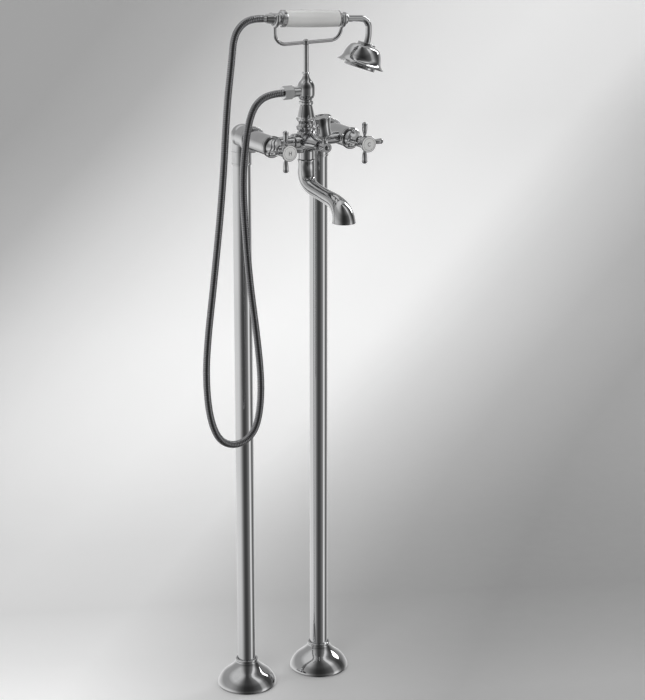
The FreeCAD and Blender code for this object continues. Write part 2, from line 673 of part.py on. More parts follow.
def barrel(side, sign, inwards):
    """Valve barrel with the cross tube that leads to the centre body."""
    label = f"{side}_barrel"
    bead = "barrel_radius + barrel_bead"
    bead_foot = "barrel_length - barrel_bead_width"
    groove = "barrel_radius - barrel_groove"
    stations = (
        ("0", "0"), ("union_thread", "0"), ("union_thread", "tail_flange"), ("barrel_radius", "tail_flange"),
        ("barrel_radius", f"{bead_foot} - 3"), (groove, f"{bead_foot} - 2"), (groove, bead_foot),
        (f"{bead} - 0.8", bead_foot), (bead, f"{bead_foot} + 0.8"), (bead, "barrel_length - 1.6"),
        (f"{bead} - 1.6", "barrel_length"), ("0", "barrel_length"),
    )
    body = doc.addObject("PartDesign::Body", label)
    revolve(body, f"{label}_turn", stations)
    start = ("0", "0", BRANCH_PLACE)
    reach = "leg_spacing / 2 - branch_reach"
    flange_at = (f"-({sign}) * ({reach} - branch_flange)", "0", BRANCH_PLACE)
    rod(body, f"{label}_branch", "branch_radius", reach, start, inwards)
    rod(body, f"{label}_branch_flange", "branch_thread", "branch_flange", flange_at, inwards)
    rod(body, f"{label}_way", "barrel_way", "barrel_length", CENTRE, UP, True)
    valve_floor = ("0", "0", "barrel_length - valve_depth")
    rod(body, f"{label}_bore", "valve_bore", "valve_depth", valve_floor, UP, True)
    rod(body, f"{label}_branch_way", "branch_bore", reach, start, inwards, True)
    piece(body, label, side_place(sign, BARREL_BACK, "mixer_height"), FORWARD)


def branch_nuts():
    """Nuts that join the cross tubes to the centre body."""
    thread = "branch_thread + seat_gap"
    lip = "branch_radius + seat_gap"
    lip_start = f"branch_reach + branch_flange - {NUT_START}"
    end = f"{lip_start} + branch_lip"
    stations = (
        (thread, "0"), ("branch_nut_radius - 0.8", "0"), ("branch_nut_radius", "0.8"),
        ("branch_nut_radius", f"{end} - 0.8"), ("branch_nut_radius - 0.8", end), (lip, end),
        (lip, lip_start), (thread, lip_start),
    )
    places = []
    for side, sign, inwards in SIDES:
        places.append(((f"{sign} * {NUT_START}", "-mixer_reach", "mixer_height"), inwards.inverted()))
    pair("branch_nuts", stations, places)


def valve(side, sign):
    """Quarter-turn valve: housing screwed into the barrel, with a chamber for two ceramic discs."""
    label = f"{side}_valve"
    outside = "valve_bore - seat_gap"
    foot = "-(valve_depth - 0.2)"
    neck_bore = "stem_radius + run_fit"
    chamber_top = f"{foot} + disc_chamber_depth"
    stations = (
        ("disc_chamber", foot), (outside, foot), (outside, "0"), ("valve_flange", "0"),
        ("valve_flange", "valve_flange_thickness"), ("valve_neck", "valve_flange_thickness"),
        ("valve_neck", VALVE_NECK), (neck_bore, VALVE_NECK), (neck_bore, chamber_top),
        ("disc_chamber", chamber_top),
    )
    body = turned(label, stations, side_place(sign, BARREL_FRONT, "mixer_height"), FORWARD)
    port_at = (f"-({outside})", "0", f"mixer_reach - {BARREL_FRONT}")
    rod(body, f"{label}_ports", "port_radius", f"2 * ({outside})", port_at, TO_COLD, True)


def fixed_discs():
    """Fixed ceramic disc at the foot of each valve."""
    forward = f"{BARREL_FRONT} - valve_depth + 0.2"
    places = both_sides(forward, "mixer_height", FORWARD)
    ring_pair("fixed_discs", "3", "disc_chamber - seat_gap", "disc_thickness", places)


def spindle(side, sign):
    """Spindle with the turning foot, tapped for the handle's screw."""
    front = f"(handle_reach + stem_end - {BARREL_FRONT})"
    foot = "-(valve_depth - 0.2) + disc_thickness + 0.4"
    foot_top = f"{foot} + foot_thickness"
    tapped = f"{front} - screw_length"
    stations = (
        ("0", foot), ("disc_chamber - run_gap", foot), ("disc_chamber - run_gap", foot_top),
        ("stem_radius", foot_top), ("stem_radius", front), ("screw_shank + seat_gap / 2", front),
        ("screw_shank + seat_gap / 2", tapped), ("0", tapped),
    )
    turned(f"{side}_spindle", stations, side_place(sign, BARREL_FRONT, "mixer_height"), FORWARD)


def bonnet(side, sign):
    """Bonnet over the valve, hollow-curved towards the handle."""
    flange_room = "valve_flange + seat_gap"
    flange_top = "valve_flange_thickness + seat_gap"
    neck_room = "valve_neck + seat_gap"
    neck_top = f"{VALVE_NECK} + seat_gap"
    stem_room = "stem_radius + run_gap"
    stations = (
        (flange_room, "0"), ("bonnet_radius", "0"), ("bonnet_radius", "bonnet_rim", f"-{BONNET_CURVE}"),
        ("bonnet_front_radius", f"{BONNET_LENGTH} - 2"), ("bonnet_front_radius", f"{BONNET_LENGTH} - 0.6"),
        ("bonnet_front_radius - 0.6", BONNET_LENGTH), (stem_room, BONNET_LENGTH), (stem_room, neck_top),
        (neck_room, neck_top), (neck_room, flange_top), (flange_room, flange_top),
    )
    turned(f"{side}_bonnet", stations, side_place(sign, BARREL_FRONT, "mixer_height"), FORWARD)


def handle(side, sign):
    """Cross handle: a turned hub with a cup for the index, and four club-shaped arms."""
    label = f"{side}_handle"
    bore = "stem_radius + seat_gap"
    shank = "screw_shank + seat_gap"
    head = "screw_head_radius + run_gap"
    recess = "cup_front - cup_depth"
    stations = (
        (bore, "-hub_back"), ("hub_skirt", "-hub_back"), ("hub_skirt + 0.6", "0.7 - hub_back"),
        ("hub_skirt", "3 - hub_back", "-16"), ("hub_radius", "-4"), ("hub_radius", "2.4", "-7"),
        ("hub_waist", "hub_waist_place", "-6"), ("cup_radius - 1", "cup_base"),
        ("cup_radius", "cup_base + 1"), ("cup_radius", "cup_front - 0.4"), ("cup_radius - 0.4", "cup_front"),
        ("cup_radius - cup_wall", "cup_front"), ("cup_radius - cup_wall", recess), (head, recess),
        (head, "screw_seat"), (shank, "screw_seat"), (shank, "stem_end + seat_gap"),
        (bore, "stem_end + seat_gap"),
    )
    body = doc.addObject("PartDesign::Body", label)
    revolve(body, f"{label}_hub", stations)
    arm = (
        ("arm_root_place", "0"), ("arm_root_place", "arm_root", "-9"),
        ("arm_neck_place", "arm_neck", "-arm_curve"), ("arm_reach - 1.2 * arm_tip", "arm_tip - 0.35", "-9"),
        ("arm_reach - 0.75 * arm_tip", "arm_tip", "-arm_tip"), ("arm_reach", "0"),
    )
    first = revolve(body, f"{label}_arm", arm, "Revolution", "H_Axis")
    pattern(body, [first], f"{label}_arms", "quarter_turns")
    piece(body, label, side_place(sign, "handle_reach", "mixer_height"), FORWARD)


def index_and_screw(side, sign):
    """Domed porcelain index in the handle's cup, and the screw under it."""
    radius = "cup_radius - cup_wall - seat_gap"
    floor = "cup_front - cup_depth"
    dome = f"(({radius})^2 + index_dome^2) / (2 * index_dome)"
    stations = (("0", floor), (radius, floor), (radius, "cup_front", dome), ("0", "cup_front + index_dome"))
    at = side_place(sign, "handle_reach", "mixer_height")
    turned(f"{side}_index", stations, at, FORWARD)
    top = "screw_seat + screw_head_height"
    foot = "screw_seat - screw_length"
    screw = (
        ("0", foot), ("screw_shank", foot), ("screw_shank", "screw_seat"),
        ("screw_head_radius", "screw_seat"), ("screw_head_radius", f"{top} - 1"),
        ("screw_head_radius - 1", top), ("1.4", top),
        ("1.4", f"{top} - 1.8"), ("0", f"{top} - 1.8"),
    )
    turned(f"{side}_handle_screw", screw, at, FORWARD)


def centre_body():
    """Casting where both waters meet: side threads, diverter boss, riser seat and spout thread."""
    foot = f"-{THREAD_END}"
    stations = (
        ("0", foot), ("spout_thread", foot), ("spout_thread", "-body_foot"),
        ("body_foot_radius", "-body_foot"), ("body_foot_radius", "2 - body_foot", "12"),
        ("body_radius", "-body_belt"), ("body_radius", "body_belt", "18"),
        ("body_head_radius", "body_head - 2"), ("body_head_radius", "body_head"), ("0", "body_head"),
    )
    body = doc.addObject("PartDesign::Body", "centre_body")
    revolve(body, "centre_turn", stations)
    side_start = ("-branch_reach", "0", "0")
    rod(body, "side_threads", "branch_thread", "2 * branch_reach", side_start, TO_COLD)
    rod(body, "front_boss", "boss_radius", "boss_reach", CENTRE, FORWARD)
    rod(body, "side_ways", "branch_bore", "2 * branch_reach", side_start, TO_COLD, True)
    length = "chamber_back + boss_reach"
    rod(body, "chamber", "chamber_radius", length, ("0", "chamber_back", "0"), FORWARD, True)
    rod(body, "riser_way", "riser_bore", "body_head", CENTRE, UP, True)
    rod(body, "spout_way", "spigot_radius + run_fit", THREAD_END, ("0", "0", foot), UP, True)
    piece(body, "centre_body", ("0", "-mixer_reach", "mixer_height"))


def diverter():
    """Bonnet, ported spindle, lever and cap screw of the diverter."""
    face = "(mixer_reach + boss_reach)"
    at = ("0", f"-{face}", "mixer_height")
    bore = "stem_radius + run_fit"
    stations = (
        (bore, "0"), ("boss_radius", "0"), ("boss_radius", "diverter_rim", "-diverter_curve"),
        ("diverter_front", "diverter_length - 3"), ("diverter_front + 0.7", "diverter_length - 2.4"),
        ("diverter_front + 0.7", "diverter_length - 0.6"), ("diverter_front", "diverter_length"),
        (bore, "diverter_length"),
    )
    turned("diverter_bonnet", stations, at, FORWARD)
    plug = "chamber_radius - run_fit"
    tip = f"(lever_plane + lever_hub_length / 2 - {face})"
    tapped = f"{tip} - screw_length"
    thread = "screw_shank + seat_gap / 2"
    stations = (
        ("0", "-run_gap - plug_length"), (plug, "-run_gap - plug_length"), (plug, "-run_gap"),
        ("stem_radius", "-run_gap"), ("stem_radius", tip), (thread, tip), (thread, tapped), ("0", tapped),
    )
    body = turned("diverter_spindle", stations, at, FORWARD)
    port = ("0", "0", f"{face} - 2 * boss_reach - mixer_reach")
    rod(body, "plug_port", "plug_port", "chamber_radius", port, BACKWARD, True)
    lever_at = ("0", "-lever_plane", "mixer_height")
    lean = Rotation(Vector(0, 1, 0), -size("lever_lean"))
    rim_foot = "lever_top - lever_rim"
    dish = "lever_top - lever_dish"
    stations = (
        ("0", "0"), ("lever_neck + 1.4", "0"), ("lever_neck + 1.4", "lever_hub", "-9"),
        ("lever_neck", "lever_neck_top - 3", "-6"),
        ("lever_foot_radius - lever_foot_round", "lever_neck_top", "4"),
        ("lever_foot_radius", "lever_neck_top + lever_foot_round", "-lever_flare"),
        ("lever_top_radius - 0.7", rim_foot), ("lever_top_radius", f"{rim_foot} + 0.6"),
        ("lever_top_radius", "lever_top - 0.6"), ("lever_top_radius - 0.6", "lever_top"),
        ("lever_top_radius - 1.8", "lever_top"), ("lever_top_radius - 2.6", dish), ("0", dish),
    )
    body = doc.addObject("PartDesign::Body", "diverter_lever")
    revolve(body, "lever_grip", stations)
    back = ("0", "lever_hub_length / 2", "0")
    rod(body, "lever_hub_bar", "lever_hub", "lever_hub_length", back, FORWARD)
    rod(body, "lever_bore", "stem_radius + seat_gap", "lever_hub_length", back, FORWARD, True)
    piece(body, "diverter_lever", lever_at, lean)
    front = "lever_hub_length / 2"
    dome = "((cap_radius)^2 + (cap_height - 1)^2) / (2 * (cap_height - 1))"
    foot = f"{front} - screw_length"
    stations = (
        ("0", foot), ("screw_shank", foot), ("screw_shank", front), ("cap_radius", front),
        ("cap_radius", f"{front} + 1", dome), ("0", f"{front} + cap_height"),
    )
    turned("diverter_cap", stations, lever_at, FORWARD)


def riser():
    """Ringed nut, tapering column and the bulb that carries the hose outlet."""
    bore = "riser_foot_radius - riser_wall - 2"
    upper = "riser_nut_height - upper_ring_height - 1"
    stations = (
        (bore, "0"), ("body_head_radius", "0"), ("ring_radius - 1", "1.2"), ("ring_radius", "2.2"),
        ("ring_radius", "ring_height + 0.8"), ("ring_radius - 1", "ring_height + 1.8"),
        ("riser_nut_waist", "ring_height + 2.4", "-9"), ("riser_nut_waist", f"{upper} - 1"),
        ("ring_radius - 0.8", upper), ("ring_radius", f"{upper} + 0.8"),
        ("ring_radius", "riser_nut_height - 1.8"), ("ring_radius - 0.8", "riser_nut_height - 1"),
        ("riser_foot_radius", "riser_nut_height"), (bore, "riser_nut_height"),
    )
    turned("riser_nut", stations, ("0", "-mixer_reach", RISER_FOOT))
    collar_foot = "riser_cone_height"
    top = "riser_cone_height + riser_collar_height"
    stations = (
        (bore, "0"), ("riser_foot_radius", "0"), ("riser_foot_radius", "1.6"),
        ("riser_top_radius", f"{collar_foot} - 1"), ("riser_collar_radius", f"{collar_foot} + 0.6"),
        ("riser_collar_radius", f"{top} - 3"), ("bulb_foot_radius", f"{top} - 1.4"),
        ("bulb_foot_radius", top),
        ("riser_top_radius - riser_wall", top), ("riser_top_radius - riser_wall", collar_foot),
    )
    turned("riser_cone", stations, ("0", "-mixer_reach", RISER_CONE_FOOT))
    stations = (
        ("0", "0"), ("bulb_foot_radius", "0", "bulb_radius"), ("bulb_radius", "bulb_low + 2"),
        ("bulb_radius", "bulb_low + bulb_width_height", "bulb_radius + 3"),
        ("bulb_shoulder_radius", "bulb_shoulder", "-18"), ("bulb_tip_radius", "bulb_height"),
        ("0", "bulb_height"),
    )
    body = doc.addObject("PartDesign::Body", "outlet_bulb")
    revolve(body, "bulb_turn", stations)
    outlet = ("0", "0", f"mixer_height + outlet_height - {BULB_FOOT}")
    end = ("2 - outlet_reach", "0", outlet[2])
    rod(body, "outlet_arm", "outlet_radius", "outlet_reach", outlet, TO_HOT)
    rod(body, "outlet_bead", "outlet_radius + 1", "2", end, TO_HOT)
    rod(body, "outlet_thread_end", "outlet_thread", "outlet_reach + outlet_thread_length", outlet, TO_HOT)
    rod(body, "bulb_way", "riser_top_radius - riser_wall", "bulb_low + 5", CENTRE, UP, True)
    rod(body, "outlet_way", "outlet_bore", "outlet_reach + outlet_thread_length", outlet, TO_HOT, True)
    piece(body, "outlet_bulb", ("0", "-mixer_reach", BULB_FOOT))


def cradle():
    """Stem, bar with two upturned horns, and a yoke on each for the hand shower's necks."""
    knob = f"(mixer_height + cradle_height - {BULB_TOP})"
    seat = "(cradle_knob + seat_gap)"
    stations = (
        ("0", "0"), ("stem_foot_radius - 1", "0"), ("stem_foot_radius", "1"),
        ("stem_foot_radius", "stem_foot_height - 0.6"), ("stem_rod", "stem_foot_height + 1"),
        ("stem_rod", f"{knob} - sqrt({seat}^2 - stem_rod^2)", f"-{seat}"), ("0", f"{knob} - {seat}"),
    )
    turned("cradle_stem", stations, ("0", "-mixer_reach", BULB_TOP))
    radius = size("rod_radius")
    yoke_radius = 1.08 * radius
    yoke = size("neck_radius + yoke_gap") + yoke_radius
    bend = size("cradle_bend")
    droop = math.tan(math.radians(size("handset_droop")))
    ends = []
    for across in (-size("cradle_hot_arm"), size("cradle_cold_arm")):
        rise = size("handset_height - cradle_height") - (across - size("handset_shift")) * droop
        ends.append(Vector(across, 0, rise))
    hot, cold = ends
    low = Vector(0, 0, -yoke)
    points = [hot + low, Vector(hot.x, 0, 0), Vector(cold.x, 0, 0), cold + low]
    # the ball's own axis lies across the bar, so that its seam stays clear of it
    knob_shape = Part.makeSphere(size("cradle_knob"), Vector(), Vector(0, 1, 0))
    shape = knob_shape.fuse(swept_tube(cornered(points, bend), (radius,)))
    for end in ends:
        shape = shape.fuse(yoke_ring(end, yoke, yoke_radius))
    shaped("cradle", shape, ("0", "-mixer_reach", "mixer_height + cradle_height"))


def cornered(points, radius):
    """A path of straight runs with equal round corners."""
    edges = []
    here = points[0]
    for before, corner, after in zip(points, points[1:], points[2:]):
        into = (corner - before).normalize()
        out = (after - corner).normalize()
        trim = radius * math.tan(into.getAngle(out) / 2)
        start = corner - into * trim
        end = corner + out * trim
        bisector = (out - into).normalize()
        middle = corner + bisector * (radius / math.cos(into.getAngle(out) / 2) - radius)
        edges.append(Part.makeLine(here, start))
        edges.append(Part.Arc(start, middle, end).toShape())
        here = end
    edges.append(Part.makeLine(here, points[-1]))
    return Part.Wire(edges)


def yoke_ring(centre, reach, radius):
    """A round rod bent into a half ring below a centre, with short upright tips."""
    front = centre + Vector(0, -reach, 0)
    low = centre + Vector(0, 0, -reach)
    back = centre + Vector(0, reach, 0)
    top = Vector(0, 0, size("yoke_tips") + radius)
    edges = [Part.makeLine(front + top, front)]
    for start, end in ((front, low), (low, back)):
        middle = centre + (start + end - centre * 2) * math.sqrt(0.5)
        edges.append(Part.Arc(start, middle, end).toShape())
    edges.append(Part.makeLine(back, back + top))
    rod_shape = swept_tube(Part.Wire(edges), (radius,))
    rims = [edge for edge in rod_shape.Edges if abs(edge.BoundBox.ZMin - (centre + top).z) < 0.01]
    return rod_shape.makeFillet(0.7 * radius, rims)


HANDSET_AT = ("handset_shift", "-mixer_reach", "mixer_height + handset_height")


def along_grip():
    """The direction of the grip's own axis, towards the rose."""
    return Rotation(Vector(0, 1, 0), 90 + size("handset_droop"))


def hand_shower_grip():
    """Porcelain grip on its inner tube, between a tail ferrule and a head ferrule."""
    half = "(grip_length / 2)"
    swell = f"({half}^2 + grip_swell^2) / (2 * grip_swell)"
    bore = "grip_tube + seat_gap"
    stations = (
        (bore, f"-{half}"), ("grip_end_radius", f"-{half}", swell), ("grip_end_radius", half), (bore, half),
    )
    turned("grip", stations, HANDSET_AT, along_grip())
    inside = "grip_tube - grip_tube_wall"
    tube = (
        (inside, f"-{half} - 6"), ("grip_tube", f"-{half} - 6"), ("grip_tube", f"{half} + 3"),
        (inside, f"{half} + 3"),
    )
    turned("grip_tube", tube, HANDSET_AT, along_grip())
    tail_end = f"{half} + ferrule_length + tail_neck_length"
    tail = (
        (bore, f"-{half}"), (bore, f"-{half} - 6"), (inside, f"-{half} - 6"), (inside, f"-({tail_end})"),
        ("outlet_thread", f"-({tail_end})"), ("outlet_thread", f"6 - ({tail_end})"),
        ("neck_radius", f"7 - ({tail_end})"), ("neck_radius", f"-{half} - ferrule_length", "-ferrule_cove"),
        ("ferrule_radius - 2", f"-{half} - ferrule_width - 2"),
        ("ferrule_radius", f"-{half} - ferrule_width"),
        ("ferrule_radius", f"-{half} - 1"), ("ferrule_radius - 0.6", f"-{half}"),
    )
    turned("tail_ferrule", tail, HANDSET_AT, along_grip())
    neck_start = f"{half} + head_ferrule_width"
    neck_end = f"{neck_start} + head_neck_length"
    end = f"{neck_end} + head_collar_length"
    pipe = "pipe_radius + seat_gap"
    head = (
        (bore, half), ("ferrule_radius - 1.2", half), ("ferrule_radius - 0.7", f"{half} + 0.8"),
        ("ferrule_radius - 0.7", f"{neck_start} - 1"), ("ferrule_radius - 2", neck_start),
        ("neck_radius", neck_start), ("neck_radius", neck_end),
        ("head_collar_radius", f"{neck_end} + 0.8", "7"),
        ("pipe_radius + 1.4", end), (pipe, end), (pipe, f"{end} - 6"), (inside, f"{end} - 6"),
        (inside, f"{half} + 3"), (bore, f"{half} + 3"),
    )
    turned("head_ferrule", head, HANDSET_AT, along_grip())


def pipe_route():
    """The bent pipe's runs and bends in the grip's plane, and where and how it ends."""
    droop = math.radians(size("handset_droop"))
    heading = -droop
    start = size("grip_length / 2 + head_ferrule_width + head_neck_length + head_collar_length - 5.8")
    here = Vector(start * math.cos(heading), 0, start * math.sin(heading))
    final = math.radians(size("rose_tilt")) + math.pi / 2
    edges = []
    first = ("pipe_straight", "pipe_bend", math.pi / 2 - droop)
    second = ("pipe_drop", "pipe_sweep", final - math.pi / 2)
    for run, bend, turn in (first, second):
        ahead = here + Vector(math.cos(heading), 0, math.sin(heading)) * size(run)
        edges.append(Part.makeLine(here, ahead))
        radius = size(bend)
        inward = Vector(math.sin(heading), 0, -math.cos(heading)) * radius
        centre = ahead + inward
        middle = centre - Vector(math.sin(heading - turn / 2), 0, -math.cos(heading - turn / 2)) * radius
        heading -= turn
        here = centre - Vector(math.sin(heading), 0, -math.cos(heading)) * radius
        edges.append(Part.Arc(ahead, middle, here).toShape())
    last = here + Vector(math.cos(heading), 0, math.sin(heading)) * size("pipe_end")
    edges.append(Part.makeLine(here, last))
    return Part.Wire(edges), last


def swept_tube(path, radii):
    """A round tube along a path, bored if a second radius is given."""
    start = path.Edges[0].valueAt(path.Edges[0].FirstParameter)
    direction = path.Edges[0].tangentAt(path.Edges[0].FirstParameter)
    solids = []
    for radius in radii:
        circle = Part.Wire(Part.Edge(Part.Circle(start, direction, radius)))
        solids.append(path.makePipeShell([circle], True, False))
    return solids[0] if len(solids) == 1 else solids[0].cut(solids[1])


def shaped(label, shape, at=CENTRE, turn=UP):
    """A piece whose shape is made by its own function."""
    feature = doc.addObject("Part::Feature", label)
    feature.Shape = shape
    return piece(feature, label, at, turn)


def rose():
    """Bent pipe, bell, spray plate with rings of jets, and the seal behind the plate."""
    route, end = pipe_route()
    radius = size("pipe_radius")
    shaped("shower_pipe", swept_tube(route, (radius, radius - size("pipe_wall"))), HANDSET_AT)
    tilt = Rotation(Vector(0, 1, 0), size("rose_tilt"))
    depth = size("rose_height + rose_crown_height - 4")
    centre = end + tilt.multVec(Vector(0, 0, -depth))
    above = centre + tilt.multVec(Vector(0, 0, 0.4))
    at = offset(HANDSET_AT, centre)
    top = "rose_height + rose_crown_height"
    pipe = "pipe_radius + seat_gap"
    bore = "rose_radius - rose_rim"
    stations = (
        (bore, "-rose_lip"), ("rose_radius - 0.8", "-rose_lip", "1"), ("rose_radius", "-rose_lip / 2"),
        ("rose_radius - 0.6", "0.4", "-14"), ("rose_waist_radius", "rose_waist_height", "44"),
        ("rose_shoulder_radius", "rose_shoulder_height", "12"), ("rose_crown + 1.4", "rose_height"),
        ("rose_crown", "rose_height + 0.8"), ("rose_crown", f"{top} - 1.2", "1.2"),
        ("rose_crown - 1.2", top), (pipe, top), (pipe, "rose_height - rose_wall"),
        ("rose_crown + 1.4", "rose_height - rose_wall", "-10.5"),
        ("rose_shoulder_radius - rose_wall", "rose_shoulder_height - rose_wall", "-42.5"),
        ("rose_waist_radius - rose_wall", "rose_waist_height", "15"), (f"{bore} - 0.4", "1.8"),
        (bore, "1.4"),
    )
    turned("rose", stations, at, tilt)
    boss_foot = "-(plate_thickness + plate_boss_height)"
    edge = f"({bore} - seat_gap)"
    stations = (
        ("0", "0.4"), (edge, "0.4"), (edge, "-plate_thickness"),
        ("plate_boss_radius + 1.2", "-plate_thickness"), ("plate_boss_radius", "-plate_thickness - 1.2"),
        ("plate_boss_radius", f"{boss_foot} + 1.4", "-1.6"), ("plate_boss_radius - 1.4", boss_foot),
        ("0", boss_foot),
    )
    body = turned("spray_plate", stations, at, tilt)
    length = "plate_thickness + plate_boss_height + 0.4"
    rod(body, "jet_middle", "jet_radius", length, ("0", "0", boss_foot), UP, True)
    for number in range(1, int(size("jet_rings")) + 1):
        place = (f"{number} * jet_ring_gap", "0", boss_foot)
        jet = rod(body, f"jet_{number}", "jet_radius", length, place, UP, True)
        pattern(body, [jet], f"jet_ring_{number}", f"{6 * number}")
    ring("rose_seal", f"{edge} - 4", f"{edge} - 0.3", "0.9", offset(HANDSET_AT, above), tilt)


def hex_nut(label, at, turn):
    """Hexagonal nut with chamfered corners, a thread and a lip that holds a ferrule."""
    corner = "(nut_across / 2 / cos(30))"
    body = doc.addObject("PartDesign::Body", label)
    prism = body.newObject("PartDesign::AdditivePrism", f"{label}_hexagon")
    prism.Polygon = 6
    bind(prism, "Circumradius", corner)
    bind(prism, "Height", "nut_length")
    flat = "nut_across / 2 - 0.2"
    rise = "nut_chamfer / 2"
    low = ((flat, "0"), (f"{corner} + 1", "0"), (f"{corner} + 1", rise), (corner, rise))
    high = tuple((across, f"nut_length - ({up})") for across, up in low)
    revolve(body, f"{label}_low_chamfer", low, "Groove")
    revolve(body, f"{label}_high_chamfer", high, "Groove")
    rod(body, f"{label}_thread", "outlet_thread + seat_gap", "nut_length - nut_lip", CENTRE, UP, True)
    rod(body, f"{label}_lip", "hose_radius + seat_gap", "nut_length", CENTRE, UP, True)
    return piece(body, label, at, turn)


def hose_fittings():
    """Nut, washer and ferrule at the outlet, and the same at the hand shower's tail."""
    start = ("-(outlet_reach + 1)", "-mixer_reach", "mixer_height + outlet_height")
    hex_nut("hose_nut", start, TO_HOT)
    face = "(outlet_reach + outlet_thread_length)"
    ferrule = (
        ("ferrule_bore", "0"), ("outlet_thread - seat_gap", "0"),
        ("outlet_thread - seat_gap", "ferrule_flange"),
        ("hose_radius", "ferrule_flange"), ("hose_radius", "ferrule_flange + ferrule_stub"),
        ("ferrule_bore", "ferrule_flange + ferrule_stub"),
    )
    washer_at = (f"-{face}", start[1], start[2])
    ring("hose_washer", "outlet_bore", "outlet_thread - seat_gap", "washer_thickness", washer_at, TO_HOT)
    seat = (f"-({face} + washer_thickness)", start[1], start[2])
    stub = "hose_ferrule"
    turned(stub, ferrule, seat, TO_HOT)
    away = along_grip() * Rotation(Vector(1, 0, 0), 180)
    tail = size("grip_length / 2 + ferrule_length + tail_neck_length")
    axis = along_grip().multVec(Vector(0, 0, -1))

    def on_tail(distance):
        return offset(HANDSET_AT, axis * (tail + distance))

    ring("tail_washer", "outlet_bore", "outlet_thread - seat_gap", "washer_thickness", on_tail(0), away)
    turned("tail_hose_ferrule", ferrule, on_tail(size("washer_thickness")), away)
    end = "cone_length"
    lip = "washer_thickness + ferrule_flange + 6"
    cone = (
        ("outlet_thread + seat_gap", "0.4"), ("cone_foot - 0.6", "0.4"), ("cone_foot", "1"),
        ("cone_foot", "4"), ("hose_radius + 1.2", f"{end} - 1"), ("hose_radius + 0.8", end),
        ("hose_radius + seat_gap", end), ("hose_radius + seat_gap", lip), ("outlet_thread + seat_gap", lip),
    )
    turned("tail_nut", cone, on_tail(-size("5.6")), away)


def rounded_route(points):
    """Straight runs joined by arcs as large as the shorter run at each corner allows."""
    edges = []
    radii = []
    here = points[0]
    for before, corner, after in zip(points, points[1:], points[2:]):
        into = (corner - before).normalize()
        out = (after - corner).normalize()
        turn = into.getAngle(out)
        trim = 0.45 * min((corner - before).Length, (after - corner).Length)
        radius = trim / math.tan(turn / 2)
        start = corner - into * trim
        end = corner + out * trim
        bisector = (out - into).normalize()
        centre = corner + bisector * (radius / math.cos(turn / 2))
        edges.append(Part.makeLine(here, start))
        edges.append(Part.Arc(start, centre - bisector * radius, end).toShape())
        radii.append(radius)
        here = end
    edges.append(Part.makeLine(here, points[-1]))
    return Part.Wire(edges), radii


def hose():
    """The free hose: a plain tube at its real length."""
    points = [Vector(across, -forward, up) for across, forward, up in HOSE_ROUTE]
    route, radii = rounded_route(points)
    tube = swept_tube(route, (size("hose_radius"), size("hose_bore")))
    ideal = route.Length * math.pi * size("hose_radius^2 - hose_bore^2")
    print("hose length", round(route.Length, 1), "radii", [round(radius) for radius in radii])
    print("hose volume over section times length", round(tube.Volume / ideal, 4))
    shaped("shower_hose", tube)


def spout_sections(body, name, kind, shrink):
    """A loft through round sections square to the spout's centre line."""
    sections = []
    for number, (forward, down, slope, radius) in enumerate(SPOUT_STATIONS):
        section = sketch_on(body, f"{name}_{number}", "XY_Plane")
        turn = Rotation(Vector(1, 0, 0), -slope)
        section.AttachmentOffset = Placement(Vector(0, -forward, -down), turn)
        circle = Part.Circle(Vector(), Vector(0, 0, 1), radius - size(shrink))
        section.addGeometry(circle, False)
        section.addConstraint(Sketcher.Constraint("Coincident", 0, 3, -1, 1))
        section.addConstraint(Sketcher.Constraint("Radius", 0, radius - size(shrink)))
        bind(section, "Constraints[1]", f"{radius} - {shrink}")
        sections.append(section)
    loft = body.newObject(f"PartDesign::{kind}", name)
    loft.Profile = sections[0]
    loft.Sections = sections[1:]
    return loft


